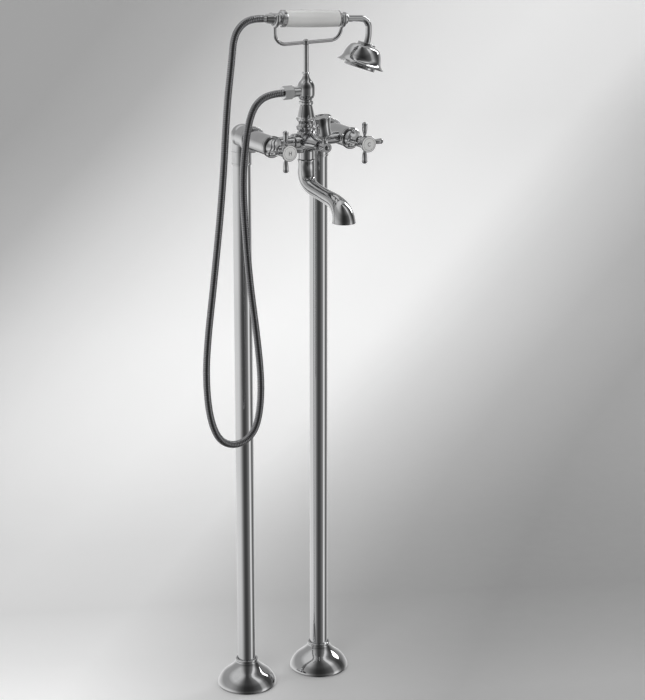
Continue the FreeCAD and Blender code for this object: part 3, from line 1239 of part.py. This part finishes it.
def spout():
    """Swivelling spout: spigot and flange held by a nut, then a swan-necked tube with a wide mouth."""
    body = doc.addObject("PartDesign::Body", "spout")
    shoulder = SPOUT_STATIONS[0][1]
    flange_top = f"{THREAD_END} + 0.3"
    groove = "spigot_radius - 1.2"
    seal_foot = f"spigot_length / 2 - {THREAD_END}"
    seal_top = f"{seal_foot} + 2 * spout_seal + 0.2"
    stations = (
        ("0", f"spigot_length - {THREAD_END}"), ("spigot_radius", f"spigot_length - {THREAD_END}"),
        ("spigot_radius", seal_top), (groove, seal_top), (groove, seal_foot), ("spigot_radius", seal_foot),
        ("spigot_radius", f"-({flange_top})"), ("spout_thread - 0.2", f"-({flange_top})"),
        ("spout_thread - 0.2", f"-({flange_top} + spout_flange)"),
        ("spout_neck", f"-({flange_top} + spout_flange)"), ("spout_neck", f"-({SPOUT_FOOT} + run_gap)"),
        (f"{SPOUT_STATIONS[0][3]} - 1", f"-({SPOUT_FOOT} + run_gap)"),
        (f"{SPOUT_STATIONS[0][3]}", f"-({SPOUT_FOOT} + run_gap + 1)"),
        (f"{SPOUT_STATIONS[0][3]}", f"-{shoulder}"), ("0", f"-{shoulder}"),
    )
    revolve(body, "spout_top", stations)
    spout_sections(body, "spout_tube", "AdditiveLoft", "0 * spout_wall")
    spout_sections(body, "spout_way", "SubtractiveLoft", "spout_wall")
    rod(body, "spigot_way", "spout_bore", f"{shoulder} + 1 + spigot_length - {THREAD_END}",
        ("0", "0", f"-{shoulder} - 1"), UP, True)
    piece(body, "spout", ("0", "-mixer_reach", "mixer_height"))
    seal_at = ("0", "-mixer_reach", f"mixer_height + {seal_foot} + 0.1")
    ring("spout_seal", groove, "spigot_radius + run_fit / 2", "2 * spout_seal", seal_at)
    nut = (
        ("spout_thread + seat_gap", "0"), ("spout_nut_radius - 1", "0"), ("spout_nut_radius", "-1"),
        ("spout_nut_radius", "1 - spout_nut_height"), ("spout_nut_radius - 1", "-spout_nut_height"),
        ("spout_neck + run_gap", "-spout_nut_height"), ("spout_neck + run_gap", f"body_foot - {SPOUT_LIP}"),
        ("spout_thread + seat_gap", f"body_foot - {SPOUT_LIP}"),
    )
    turned("spout_nut", nut, ("0", "-mixer_reach", "mixer_height - body_foot"))
    mouth = SPOUT_STATIONS[-1]
    at = ("0", f"-mixer_reach - {mouth[0]}", f"mixer_height - {mouth[1]} + aerator_recess")
    disc = (
        ("0", "0"), ("aerator_radius", "0"), ("aerator_radius", "aerator_thickness"),
        ("0", "aerator_thickness"),
    )
    aerator = turned("flow_straightener", disc, at)
    cell = rod(aerator, "cell", "1.5", "aerator_thickness", ("6", "0", "0"), UP, True)
    pattern(aerator, [cell], "inner_cells", "6")
    cell = rod(aerator, "outer_cell", "1.5", "aerator_thickness", ("12", "0", "0"), UP, True)
    pattern(aerator, [cell], "outer_cells", "12")


for side, sign, inwards in SIDES:
    floor_plate(side, sign)
    floor_cover(side, sign)
    standpipe(side, sign)
    elbow(side, sign)
    barrel(side, sign, inwards)
    valve(side, sign)
    spindle(side, sign)
    bonnet(side, sign)
    handle(side, sign)
    index_and_screw(side, sign)
inlet_sockets()
supply_pipes()
sleeves()
union_nuts()
branch_nuts()
fixed_discs()
centre_body()
diverter()
riser()
cradle()
hand_shower_grip()
rose()
hose_fittings()
hose()
spout()
doc.recompute()

for item in doc.Objects:
    if "Invalid" in item.State or "Error" in item.State:
        raise RuntimeError(f"{item.Label} failed: {item.State}")
os.makedirs("parts", exist_ok=True)
for item in pieces:
    shape = item.Shape
    if shape.isNull() or not shape.isValid() or not shape.Solids:
        raise RuntimeError(f"{item.Label} has no valid solid")
    shape.exportStep(f"parts/{item.Label}.step")
print(len(pieces), "pieces")
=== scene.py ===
import math

import bmesh
import bpy
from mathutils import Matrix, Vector


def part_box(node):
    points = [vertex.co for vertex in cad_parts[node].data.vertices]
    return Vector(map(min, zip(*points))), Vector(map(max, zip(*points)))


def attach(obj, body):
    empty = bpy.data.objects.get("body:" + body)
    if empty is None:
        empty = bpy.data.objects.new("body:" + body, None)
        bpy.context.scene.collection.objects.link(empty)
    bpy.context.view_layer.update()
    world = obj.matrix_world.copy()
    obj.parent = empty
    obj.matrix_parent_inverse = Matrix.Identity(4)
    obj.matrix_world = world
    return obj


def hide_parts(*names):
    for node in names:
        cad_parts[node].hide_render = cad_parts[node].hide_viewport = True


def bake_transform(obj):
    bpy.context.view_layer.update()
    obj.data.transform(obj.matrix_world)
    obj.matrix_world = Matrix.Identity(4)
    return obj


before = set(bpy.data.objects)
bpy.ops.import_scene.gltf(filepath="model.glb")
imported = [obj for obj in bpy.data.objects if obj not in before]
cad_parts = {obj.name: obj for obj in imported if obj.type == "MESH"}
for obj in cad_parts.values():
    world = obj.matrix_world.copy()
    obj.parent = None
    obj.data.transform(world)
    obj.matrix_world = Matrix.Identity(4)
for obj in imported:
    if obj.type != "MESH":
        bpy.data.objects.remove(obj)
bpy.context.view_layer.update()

scene = bpy.context.scene
MM = 0.001


def link(item):
    """Put an object in the scene."""
    scene.collection.objects.link(item)
    return item


def look_at(item, place, aim):
    """Stand a camera or a lamp at a place and point it at another."""
    item.location = place
    item.rotation_euler = (Vector(aim) - Vector(place)).to_track_quat("-Z", "Y").to_euler()


def mesh_object(name, shape):
    """The object that a finished bmesh becomes."""
    mesh = bpy.data.meshes.new(name)
    shape.to_mesh(mesh)
    shape.free()
    return link(bpy.data.objects.new(name, mesh))


# ---------------------------------------------------------------- camera

# the photograph's viewpoint, what its centre shows, and the lens for a 36 mm high sensor
CAMERA_PLACE = (-1.811, -3.341, 1.772)
CAMERA_AIM = (0.0832, 0, 0.6115)
CAMERA_LENS = 115.93


def make_camera():
    """The camera at the photograph's viewing angle."""
    data = bpy.data.cameras.new("camera")
    data.sensor_fit = "VERTICAL"
    data.sensor_height = 36
    data.lens = CAMERA_LENS
    camera = link(bpy.data.objects.new("camera", data))
    look_at(camera, CAMERA_PLACE, CAMERA_AIM)
    scene.camera = camera


# ---------------------------------------------------------------- hose

HOSE_RADIUS = 0.0061
HOSE_PITCH = 0.0032
HOSE_SIDES = 20
# control points from the outlet down, round the loop and up to the hand shower
HOSE_ROUTE = (
    (-0.0472, -0.0910, 1.0990),
    (-0.0676, -0.0910, 1.0990),
    (-0.0894, -0.0910, 1.0898),
    (-0.1034, -0.0910, 1.0708),
    (-0.1138, -0.0915, 1.0308),
    (-0.1215, -0.0925, 0.9583),
    (-0.1181, -0.0935, 0.8800),
    (-0.1108, -0.0945, 0.7819),
    (-0.0985, -0.0950, 0.6899),
    (-0.0905, -0.0955, 0.6042),
    (-0.0957, -0.0960, 0.5424),
    (-0.1106, -0.0960, 0.5110),
    (-0.1408, -0.0960, 0.4986),
    (-0.1710, -0.0960, 0.5110),
    (-0.1876, -0.0955, 0.5460),
    (-0.1953, -0.0950, 0.6000),
    (-0.1946, -0.0945, 0.6722),
    (-0.1763, -0.0935, 0.8047),
    (-0.1586, -0.0925, 0.9498),
    (-0.1487, -0.0915, 1.0854),
    (-0.1385, -0.0910, 1.1590),
    (-0.1346, -0.0910, 1.1975),
    (-0.1211, -0.0910, 1.2176),
    (-0.1009, -0.0910, 1.2266),
    (-0.0809, -0.0910, 1.2251),
)
# one rib of the interlocked metal strip: how far along its pitch, and its radius
RIB = ((0.0, 0.94), (0.1, 0.975), (0.28, 1.0), (0.72, 1.0), (0.9, 0.975))


def centre_line(route):
    """Points of the smooth spline that the route's points control."""
    curve = bpy.data.curves.new("route", "CURVE")
    curve.dimensions = "3D"
    spline = curve.splines.new("NURBS")
    spline.points.add(len(route) - 1)
    for point, place in zip(spline.points, route):
        point.co = (*place, 1)
    spline.order_u = 3
    spline.use_endpoint_u = True
    spline.resolution_u = 24
    holder = link(bpy.data.objects.new("route", curve))
    line = bpy.data.meshes.new_from_object(holder)
    points = [vertex.co.copy() for vertex in line.vertices]
    bpy.data.objects.remove(holder)
    bpy.data.curves.remove(curve)
    bpy.data.meshes.remove(line)
    return points


def walk(points):
    """How far along the line each of its points is."""
    distances = [0.0]
    for before, after in zip(points, points[1:]):
        distances.append(distances[-1] + (after - before).length)
    return distances


def along(points, distances, wanted):
    """Points at the wanted distances along the line, each with its direction."""
    found = []
    step = 0
    for distance in wanted:
        while step < len(points) - 2 and distances[step + 1] < distance:
            step += 1
        span = distances[step + 1] - distances[step]
        share = (distance - distances[step]) / span
        place = points[step].lerp(points[step + 1], share)
        found.append((place, (points[step + 1] - points[step]).normalized()))
    return found


def ribbed_hose(points):
    """Interlocked metal hose: a tube whose radius follows its ribs."""
    distances = walk(points)
    length = distances[-1]
    count = round(length / HOSE_PITCH)
    pitch = length / count
    wanted = [(rib + place) * pitch for rib in range(count) for place, share in RIB]
    radii = [share * HOSE_RADIUS for rib in range(count) for place, share in RIB]
    wanted.append(length)
    radii.append(RIB[0][1] * HOSE_RADIUS)
    body = bmesh.new()
    side = Vector((0, 1, 0))
    rings = []
    for (place, ahead), radius in zip(along(points, distances, wanted), radii):
        side = (side - ahead * side.dot(ahead)).normalized()
        across = ahead.cross(side)
        ring = []
        for number in range(HOSE_SIDES):
            angle = 2 * math.pi * number / HOSE_SIDES
            spoke = side * math.cos(angle) + across * math.sin(angle)
            ring.append(body.verts.new(place + spoke * radius))
        rings.append(ring)
    for before, after in zip(rings, rings[1:]):
        for number in range(HOSE_SIDES):
            beside = (number + 1) % HOSE_SIDES
            body.faces.new((before[number], before[beside], after[beside], after[number]))
    body.faces.new(list(reversed(rings[0])))
    body.faces.new(rings[-1])
    for face in body.faces:
        face.smooth = len(face.verts) == 4
    return mesh_object("metal_hose", body), length


make_camera()
hose_line = centre_line(HOSE_ROUTE)
hose, hose_length = ribbed_hose(hose_line)
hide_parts("shower_hose")
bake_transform(hose)


# ---------------------------------------------------------------- materials

class Nodes:
    """A node tree, with short ways to add to it."""

    def __init__(self, tree):
        self.tree = tree

    def add(self, kind, **settings):
        """A new node with its settings."""
        node = self.tree.nodes.new(kind)
        for field, value in settings.items():
            setattr(node, field, value)
        return node

    def join(self, source, target):
        """Link an output to an input."""
        self.tree.links.new(source, target)

    def span(self, source, low, high, start=0.3, end=0.7):
        """The source remapped between two values."""
        node = self.add("ShaderNodeMapRange")
        limits = {"From Min": start, "From Max": end, "To Min": low, "To Max": high}
        for name, value in limits.items():
            node.inputs[name].default_value = value
        self.join(source, node.inputs["Value"])
        return node.outputs["Result"]

    def ramp(self, source, stops):
        """The source, from 0 to 1, through stops of place and grey level."""
        node = self.add("ShaderNodeValToRGB")
        elements = node.color_ramp.elements
        while len(elements) < len(stops):
            elements.new(0.5)
        for element, (place, light) in zip(elements, stops):
            element.position = place
            element.color = (light, light, light, 1)
        self.join(source, node.inputs["Fac"])
        return node.outputs["Color"]

    def towards(self, source, way):
        """How far the source reaches in a direction."""
        node = self.add("ShaderNodeVectorMath", operation="DOT_PRODUCT")
        node.inputs[1].default_value = way
        self.join(source, node.inputs[0])
        return node.outputs["Value"]


class Finish(Nodes):
    """A node material, with short ways to add its detail."""

    def __init__(self, name):
        self.material = bpy.data.materials.new(name)
        self.material.use_nodes = True
        super().__init__(self.material.node_tree)
        self.shader = self.tree.nodes["Principled BSDF"]
        self.place = self.add("ShaderNodeTexCoord").outputs["Object"]

    def set(self, **values):
        """Constants for the shader's own sockets."""
        for name, value in values.items():
            self.shader.inputs[name.replace("_", " ")].default_value = value

    def stretched(self, scale):
        """Object coordinates scaled by three factors."""
        mapping = self.add("ShaderNodeMapping")
        mapping.inputs["Scale"].default_value = scale
        self.join(self.place, mapping.inputs["Vector"])
        return mapping.outputs["Vector"]

    def noise(self, scale, detail=4, roughness=0.55, stretch=None):
        """Noise in object coordinates, drawn out where a stretch is given."""
        node = self.add("ShaderNodeTexNoise")
        node.inputs["Scale"].default_value = scale
        node.inputs["Detail"].default_value = detail
        node.inputs["Roughness"].default_value = roughness
        self.join(self.stretched(stretch) if stretch else self.place, node.inputs["Vector"])
        return node.outputs["Fac"]

    def blend(self, factor, first, second):
        """A mix of two colours, each three numbers or an output."""
        node = self.add("ShaderNodeMix", data_type="RGBA")
        self.join(factor, node.inputs["Factor"])
        for name, colour in (("A", first), ("B", second)):
            if isinstance(colour, tuple):
                node.inputs[name].default_value = (*colour, 1)
            else:
                self.join(colour, node.inputs[name])
        return node.outputs["Result"]

    def colour(self, source):
        """The base colour."""
        self.join(source, self.shader.inputs["Base Color"])

    def roughness(self, source):
        """The roughness."""
        self.join(source, self.shader.inputs["Roughness"])

    def bump(self, *heights):
        """Several height sources, each with its strength and its depth in metres."""
        normal = None
        for source, strength, depth in heights:
            node = self.add("ShaderNodeBump")
            node.inputs["Strength"].default_value = strength
            node.inputs["Distance"].default_value = depth
            self.join(source, node.inputs["Height"])
            if normal:
                self.join(normal, node.inputs["Normal"])
            normal = node.outputs["Normal"]
        self.join(normal, self.shader.inputs["Normal"])


def cast_chrome(name):
    """Polished chrome over a hand-finished casting: faint waviness, wipe marks and dust."""
    finish = Finish(name)
    finish.set(Metallic=1.0)
    smudge = finish.noise(38, 5, 0.6)
    finish.colour(finish.blend(finish.span(smudge, 0, 1), (0.62, 0.625, 0.63), (0.70, 0.70, 0.705)))
    wipes = finish.noise(90, 6, 0.7, (1, 1, 0.25))
    finish.roughness(finish.span(wipes, 0.035, 0.095, 0.35, 0.75))
    finish.bump((finish.noise(26, 2, 0.4), 0.10, 0.0012), (finish.noise(900, 2, 0.5), 0.04, 0.0001))
    return finish.material


def drawn_chrome(name):
    """Chromed drawn tube: faint lines along its length and slow changes of tone."""
    finish = Finish(name)
    finish.set(Metallic=1.0)
    slow = finish.noise(6, 3, 0.5)
    finish.colour(finish.blend(finish.span(slow, 0, 1), (0.64, 0.645, 0.65), (0.70, 0.70, 0.705)))
    lines = finish.noise(700, 3, 0.6, (1, 1, 0.012))
    finish.roughness(finish.span(lines, 0.03, 0.085, 0.3, 0.75))
    finish.bump((lines, 0.05, 0.0001), (finish.noise(14, 2, 0.4), 0.05, 0.001))
    return finish.material


def turned_chrome(name, axis):
    """Chrome on turned brass: fine tool rings round the given axis under the polish."""
    finish = Finish(name)
    finish.set(Metallic=1.0)
    smudge = finish.noise(60, 4, 0.6)
    finish.colour(finish.blend(finish.span(smudge, 0, 1), (0.60, 0.605, 0.61), (0.69, 0.69, 0.695)))
    stretch = tuple(1.0 if letter == axis else 0.02 for letter in "xyz")
    rings = finish.noise(1500, 2, 0.5, stretch)
    finish.roughness(finish.span(rings, 0.035, 0.10, 0.3, 0.75))
    finish.bump((rings, 0.05, 0.00008), (finish.noise(45, 2, 0.4), 0.06, 0.0006))
    return finish.material


def hose_metal():
    """Interlocked strip: satin crests, painted shade in the grooves and uneven handling marks."""
    finish = Finish("hose_metal")
    finish.set(Metallic=1.0)
    pointy = finish.add("ShaderNodeNewGeometry").outputs["Pointiness"]
    # painted shade: the colour darkens where the surface curves inward, in the grooves between ribs
    groove_painted_shade = finish.span(pointy, 0, 1, 0.47, 0.505)
    finish.colour(finish.blend(groove_painted_shade, (0.11, 0.11, 0.112), (0.36, 0.36, 0.37)))
    finish.roughness(finish.span(finish.noise(160, 5, 0.65), 0.14, 0.30))
    finish.bump((finish.noise(1200, 2, 0.5), 0.06, 0.0001))
    return finish.material


def porcelain(name):
    """Glazed porcelain: white body under a clear glaze with a faint ripple and fine specks."""
    finish = Finish(name)
    finish.set(Coat_Weight=0.6, Coat_Roughness=0.03, IOR=1.52)
    drift = finish.span(finish.noise(22, 3), 0, 1)
    tone = finish.blend(drift, (0.80, 0.80, 0.79), (0.87, 0.87, 0.86))
    specks = finish.span(finish.noise(1400, 1, 0.5), 0, 1, 0.70, 0.74)
    finish.colour(finish.blend(specks, tone, (0.62, 0.60, 0.57)))
    finish.roughness(finish.span(finish.noise(60, 4), 0.10, 0.20))
    finish.bump((finish.noise(30, 2, 0.4), 0.08, 0.0008))
    return finish.material


def plain(name, first, second, rough, metallic=0.0, grain=400):
    """Brass, ceramic, rubber, steel or plastic: two tones, uneven sheen and a fine grain."""
    finish = Finish(name)
    finish.set(Metallic=metallic)
    finish.colour(finish.blend(finish.span(finish.noise(50, 5), 0, 1), first, second))
    finish.roughness(finish.span(finish.noise(120, 4), rough - 0.08, rough + 0.10))
    finish.bump((finish.noise(grain, 3, 0.6), 0.15, 0.00015))
    return finish.material


CAST = cast_chrome("chrome_cast")
DRAWN = drawn_chrome("chrome_drawn")
TURNED_X = turned_chrome("chrome_turned_across", "x")
TURNED_Y = turned_chrome("chrome_turned_forward", "y")
TURNED_Z = turned_chrome("chrome_turned_upright", "z")
PORCELAIN = porcelain("porcelain_glaze")
MARK = plain("mark_enamel", (0.02, 0.02, 0.022), (0.05, 0.05, 0.055), 0.35)
BRASS = plain("brass_machined", (0.60, 0.43, 0.19), (0.74, 0.56, 0.27), 0.28, 1.0, 900)
RUBBER = plain("rubber_seal", (0.012, 0.012, 0.012), (0.03, 0.03, 0.031), 0.62, 0.0, 700)
CERAMIC = plain("ceramic_disc", (0.78, 0.76, 0.71), (0.86, 0.84, 0.80), 0.35, 0.0, 1200)
STEEL = plain("screw_steel", (0.46, 0.46, 0.47), (0.58, 0.58, 0.59), 0.30, 1.0, 900)
PLASTIC = plain("straightener_plastic", (0.62, 0.62, 0.61), (0.72, 0.72, 0.71), 0.45, 0.0, 600)

FINISHES = {
    CAST: ("elbow", "barrel", "centre_body", "outlet_bulb", "spout", "floor_cover", "rose"),
    DRAWN: ("standpipe", "shower_pipe", "cradle"),
    TURNED_X: ("tail_ferrule", "head_ferrule", "hose_nut", "tail_nut", "branch_nuts", "ferrule"),
    TURNED_Y: ("handle", "bonnet", "union_nuts", "diverter_cap", "diverter_spindle"),
    TURNED_Z: (
        "sleeves", "riser_nut", "riser_cone", "cradle_stem", "spout_nut", "diverter_lever",
        "spray_plate",
    ),
    PORCELAIN: ("grip", "index"),
    BRASS: ("floor_plate", "inlet_sockets", "supply_pipes", "valve", "spindle", "grip_tube"),
    RUBBER: ("seal", "seals", "washer", "washers"),
    CERAMIC: ("fixed_discs",),
    STEEL: ("handle_screw",),
    PLASTIC: ("flow_straightener",),
}


def finish_for(node):
    """The finish whose longest key ends the node's name."""
    fitting = {
        key: material for material, keys in FINISHES.items() for key in keys if node.endswith(key)
    }
    return fitting[max(fitting, key=len)]


for name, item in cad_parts.items():
    if name == "shower_hose":
        continue
    finish = finish_for(name)
    for slot in item.material_slots:
        slot.material = finish
hose.data.materials.append(hose_metal())


# ---------------------------------------------------------------- index marks

# how far an index's middle stands in front of its edge, and a mark in front of the index
DOME_RISE = 1.4 * MM
MARK_RISE = 0.03 * MM
LINE_STEPS = 6
ARC_STEPS = 48


def mark_points(stroke):
    """A stroke's centre line on the index: a straight line or an arc, in millimetres."""
    if stroke[0] == "line":
        start, end = Vector(stroke[1]), Vector(stroke[2])
        return [start.lerp(end, number / LINE_STEPS) for number in range(LINE_STEPS + 1)]
    radius, first, last = stroke[1:]
    turns = [first + (last - first) * number / ARC_STEPS for number in range(ARC_STEPS + 1)]
    angles = [math.radians(turn) for turn in turns]
    return [Vector((radius * math.cos(angle), radius * math.sin(angle))) for angle in angles]


def index_mark(node, name, body, strokes):
    """Fired mark on a domed index: narrow strips that follow the dome."""
    low, high = (Vector(corner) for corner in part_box(node))
    centre = (low + high) / 2
    radius = (high.x - low.x) / 2
    curve = (radius**2 + DOME_RISE**2) / (2 * DOME_RISE)
    parts = bmesh.new()
    for width, stroke in strokes:
        points = mark_points(stroke)
        edges = []
        for number, point in enumerate(points):
            before = points[max(number - 1, 0)]
            after = points[min(number + 1, len(points) - 1)]
            ahead = (after - before).normalized()
            pair = []
            for side in (-1, 1):
                flat = point + Vector((-ahead.y, ahead.x)) * side * width / 2
                away = flat.length * MM
                rise = math.sqrt(curve**2 - away**2) - curve
                front = low.y - rise - MARK_RISE
                place = (centre.x + flat.x * MM, front, centre.z + flat.y * MM)
                pair.append(parts.verts.new(place))
            edges.append(pair)
        for first, second in zip(edges, edges[1:]):
            parts.faces.new((first[0], second[0], second[1], first[1]))
    bmesh.ops.recalc_face_normals(parts, faces=parts.faces)
    mark = mesh_object(name, parts)
    mark.data.materials.append(MARK)
    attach(mark, body)


# strokes: each has its width, then its kind and line, or its kind, radius and degrees
RING = (0.35, ("arc", 10.2, 0, 360))
LETTER_H = (
    (0.9, ("line", (-2.1, -3.2), (-2.1, 3.2))),
    (0.9, ("line", (2.1, -3.2), (2.1, 3.2))),
    (0.9, ("line", (-2.1, 0), (2.1, 0))),
)
LETTER_C = ((0.9, ("arc", 2.9, 45, 315)),)
index_mark("hot_index", "hot_mark", "hot_tap", (RING, *LETTER_H))
index_mark("cold_index", "cold_mark", "cold_tap", (RING, *LETTER_C))


# ---------------------------------------------------------------- floor covers

# half outline of the spun bell in millimetres, radius and height: down the outside, up the inside
BELL = (
    (16.5, 51.2), (17.2, 51.9), (18.8, 52.0), (19.8, 51.4), (20.2, 50.4), (20.2, 48.2),
    (19.6, 47.2), (20.6, 45.0), (22.4, 42.2), (25.2, 38.8), (28.8, 35.2), (32.8, 31.9),
    (36.8, 28.9), (40.6, 25.8), (44.2, 22.3), (47.4, 18.2), (50.0, 14.0), (52.0, 10.0),
    (53.1, 6.6), (53.3, 4.2), (52.7, 2.0), (51.4, 0.5), (49.8, 0.3), (49.2, 1.4),
    (50.0, 4.0), (49.6, 7.2), (47.8, 11.6), (44.8, 16.2), (41.6, 20.0), (36.0, 25.2),
    (30.0, 30.0), (24.4, 35.2), (20.6, 40.0), (18.6, 44.4), (16.5, 47.0),
)
BELL_SIDES = 128


def floor_cover(node):
    """The bell as it is spun: a collar, a hollow slope and a thin rounded rim."""
    low, high = (Vector(corner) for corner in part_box(node))
    centre = (low + high) / 2
    bell = bmesh.new()
    rings = []
    for radius, height in BELL:
        ring = []
        for number in range(BELL_SIDES):
            angle = 2 * math.pi * number / BELL_SIDES
            place = (math.cos(angle) * radius * MM, math.sin(angle) * radius * MM, height * MM)
            ring.append(bell.verts.new(Vector((centre.x, centre.y, 0)) + Vector(place)))
        rings.append(ring)
    for ring, following in zip(rings, rings[1:] + rings[:1]):
        for number in range(BELL_SIDES):
            beside = (number + 1) % BELL_SIDES
            bell.faces.new((ring[number], following[number], following[beside], ring[beside]))
    bmesh.ops.recalc_face_normals(bell, faces=bell.faces)
    for face in bell.faces:
        face.smooth = True
    item = mesh_object(f"{node}_bell", bell)
    item.data.materials.append(CAST)
    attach(item, "stand")
    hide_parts(node)


floor_cover("hot_floor_cover")
floor_cover("cold_floor_cover")


# ---------------------------------------------------------------- studio

# the sweep in metres: its reach to the sides and to the front, its wall and its rounded corner
SWEEP_REACH = 9
WALL_PLACE = 1.7
WALL_TOP = 7
CORNER_RADIUS = 0.7
CORNER_STEPS = 16
SWEEP_TURN = math.radians(-22)
# a painted slanting band of light in the paper's colour: the way across it, where it starts and
# ends, levels
BAND_ACROSS = (0.2162, -0.2107, -0.2537)
BAND_ENDS = (-0.499, 0.171)
BAND = (
    (0.0, 0.36), (0.10, 0.42), (0.20, 0.60), (0.30, 0.73), (0.36, 0.78), (0.45, 0.82),
    (0.58, 0.78), (0.67, 0.58), (0.78, 0.40), (0.89, 0.31), (1.0, 0.33),
)
# painted shade in the paper's colour: how it dims and lightens again from the front of the floor to
# the wall
DEPTH_ACROSS = (0.375, 0.927, 0.0)
DEPTH_ENDS = (-0.3, 1.5)
DEPTH = (
    (0.0, 1.0), (0.11, 1.0), (0.22, 0.84), (0.36, 0.70), (0.55, 0.75), (0.83, 0.89), (1.0, 1.0),
)
# how strongly the paper shines, for the camera alone
PAPER_GLOW = 0.47


def sweep_paper():
    """Matt paper whose colour carries a painted band of light and painted dimming; from behind it
    is clear, so that the object shows.
    """
    finish = Finish("sweep_paper")
    surface = finish.add("ShaderNodeNewGeometry")
    place = surface.outputs["Position"]
    across = finish.span(finish.towards(place, BAND_ACROSS), 0, 1, *BAND_ENDS)
    inward = finish.span(finish.towards(place, DEPTH_ACROSS), 0, 1, *DEPTH_ENDS)
    # the paper's colour is painted light: the band of light, times the painted dimming from the
    # front of the floor to the wall
    painted_light_paper = finish.blend(finish.ramp(inward, DEPTH), (0, 0, 0), finish.ramp(across, BAND))
    finish.colour(painted_light_paper)
    finish.join(painted_light_paper, finish.shader.inputs["Emission Color"])
    seen = finish.add("ShaderNodeLightPath").outputs["Is Camera Ray"]
    glow = finish.span(seen, 0, PAPER_GLOW, 0, 1)
    finish.join(glow, finish.shader.inputs["Emission Strength"])
    front = finish.span(surface.outputs["Backfacing"], 1, 0, 0, 1)
    finish.join(front, finish.shader.inputs["Alpha"])
    finish.roughness(finish.span(finish.noise(30, 3), 0.75, 0.85))
    return finish.material


def floor_and_backdrop():
    """One pale sweep: the floor, a soft corner and the wall behind."""
    start = WALL_PLACE - CORNER_RADIUS
    profile = [(-SWEEP_REACH, 0), (start, 0)]
    for number in range(1, CORNER_STEPS + 1):
        angle = math.pi / 2 * number / CORNER_STEPS
        rise = CORNER_RADIUS * (1 - math.cos(angle))
        profile.append((start + CORNER_RADIUS * math.sin(angle), rise))
    profile.append((WALL_PLACE, WALL_TOP))
    sweep = bmesh.new()
    left, right = (
        [sweep.verts.new((x, y, z)) for y, z in profile] for x in (-SWEEP_REACH, SWEEP_REACH)
    )
    for number in range(len(profile) - 1):
        sweep.faces.new((left[number], right[number], right[number + 1], left[number + 1]))
    for face in sweep.faces:
        face.smooth = True
    item = mesh_object("sweep", sweep)
    item.rotation_euler = (0, 0, SWEEP_TURN)
    item.data.materials.append(sweep_paper())
    item.visible_glossy = False


def area_light(name, place, aim, width, height, power, reflected=False):
    """A soft lamp; polished metal mirrors it only where that is asked for."""
    data = bpy.data.lights.new(name, "AREA")
    data.shape = "RECTANGLE"
    data.size = width
    data.size_y = height
    data.energy = power
    lamp = link(bpy.data.objects.new(name, data))
    look_at(lamp, place, aim)
    lamp.visible_glossy = reflected


# the panels that polished metal sees: degrees to the right of the camera's back, and brightness
SURROUND = (
    (-180, 0.95), (-120, 0.94), (-66, 0.90), (-46, 0.64), (-32, 0.34), (-20, 0.17), (-8, 0.08),
    (8, 0.07), (24, 0.10), (40, 0.20), (59, 0.36), (67, 1.12), (78, 1.08), (88, 0.45),
    (102, 0.14), (118, 0.16), (134, 0.55), (180, 0.95),
)
# brings the middle of those degrees to the camera's back
SURROUND_TURN = math.radians(119.6)
# how bright the panels are from straight below, -1, to straight above, 1
HEIGHTS = (
    (-1, 0.28), (-0.55, 0.36), (-0.38, 0.92), (-0.18, 0.92), (0.20, 0.42), (0.55, 0.42),
    (0.75, 0.76), (1, 0.78),
)
# what the camera sees past the sweep
BEYOND = (0.46, 0.46, 0.47, 1)


def surroundings():
    """A studio's light and dark panels for reflections, and an even grey past the sweep."""
    world = bpy.data.worlds.new("studio")
    world.use_nodes = True
    scene.world = world
    studio = Nodes(world.node_tree)
    panels = world.node_tree.nodes["Background"]
    direction = studio.add("ShaderNodeTexCoord").outputs["Generated"]
    turn = studio.add("ShaderNodeVectorRotate", rotation_type="Z_AXIS")
    turn.inputs["Angle"].default_value = SURROUND_TURN
    studio.join(direction, turn.inputs["Vector"])
    axes = studio.add("ShaderNodeSeparateXYZ")
    studio.join(turn.outputs["Vector"], axes.inputs["Vector"])
    angle = studio.add("ShaderNodeMath", operation="ARCTAN2")
    studio.join(axes.outputs["Y"], angle.inputs[0])
    studio.join(axes.outputs["X"], angle.inputs[1])
    sideways = studio.span(angle.outputs[0], 0, 1, -math.pi, math.pi)
    stops = [((degrees + 180) / 360, light) for degrees, light in SURROUND]
    studio.join(studio.ramp(sideways, stops), panels.inputs["Color"])
    upward = studio.span(axes.outputs["Z"], 0, 1, -1, 1)
    stops = [((height + 1) / 2, light) for height, light in HEIGHTS]
    studio.join(studio.ramp(upward, stops), panels.inputs["Strength"])
    beyond = studio.add("ShaderNodeBackground")
    beyond.inputs["Color"].default_value = BEYOND
    seen = studio.add("ShaderNodeMixShader")
    studio.join(studio.add("ShaderNodeLightPath").outputs["Is Camera Ray"], seen.inputs["Fac"])
    studio.join(panels.outputs["Background"], seen.inputs[1])
    studio.join(beyond.outputs["Background"], seen.inputs[2])
    studio.join(seen.outputs["Shader"], world.node_tree.nodes["World Output"].inputs["Surface"])


floor_and_backdrop()
area_light("key", (-2.6, -2.2, 3.4), (0, 0, 0.8), 1.6, 1.6, 60)
area_light("fill", (-1.6, -3.2, 0.7), (0, 0, 1.0), 2.4, 1.6, 26)
area_light("back", (0.9, 1.25, 2.7), (0, 0, 1.0), 1.6, 0.8, 15)
area_light("rim", (2.8, 0.4, 2.6), (0, 0, 0.9), 0.8, 2.2, 30, reflected=True)
surroundings()
scene.view_settings.view_transform = "Standard"
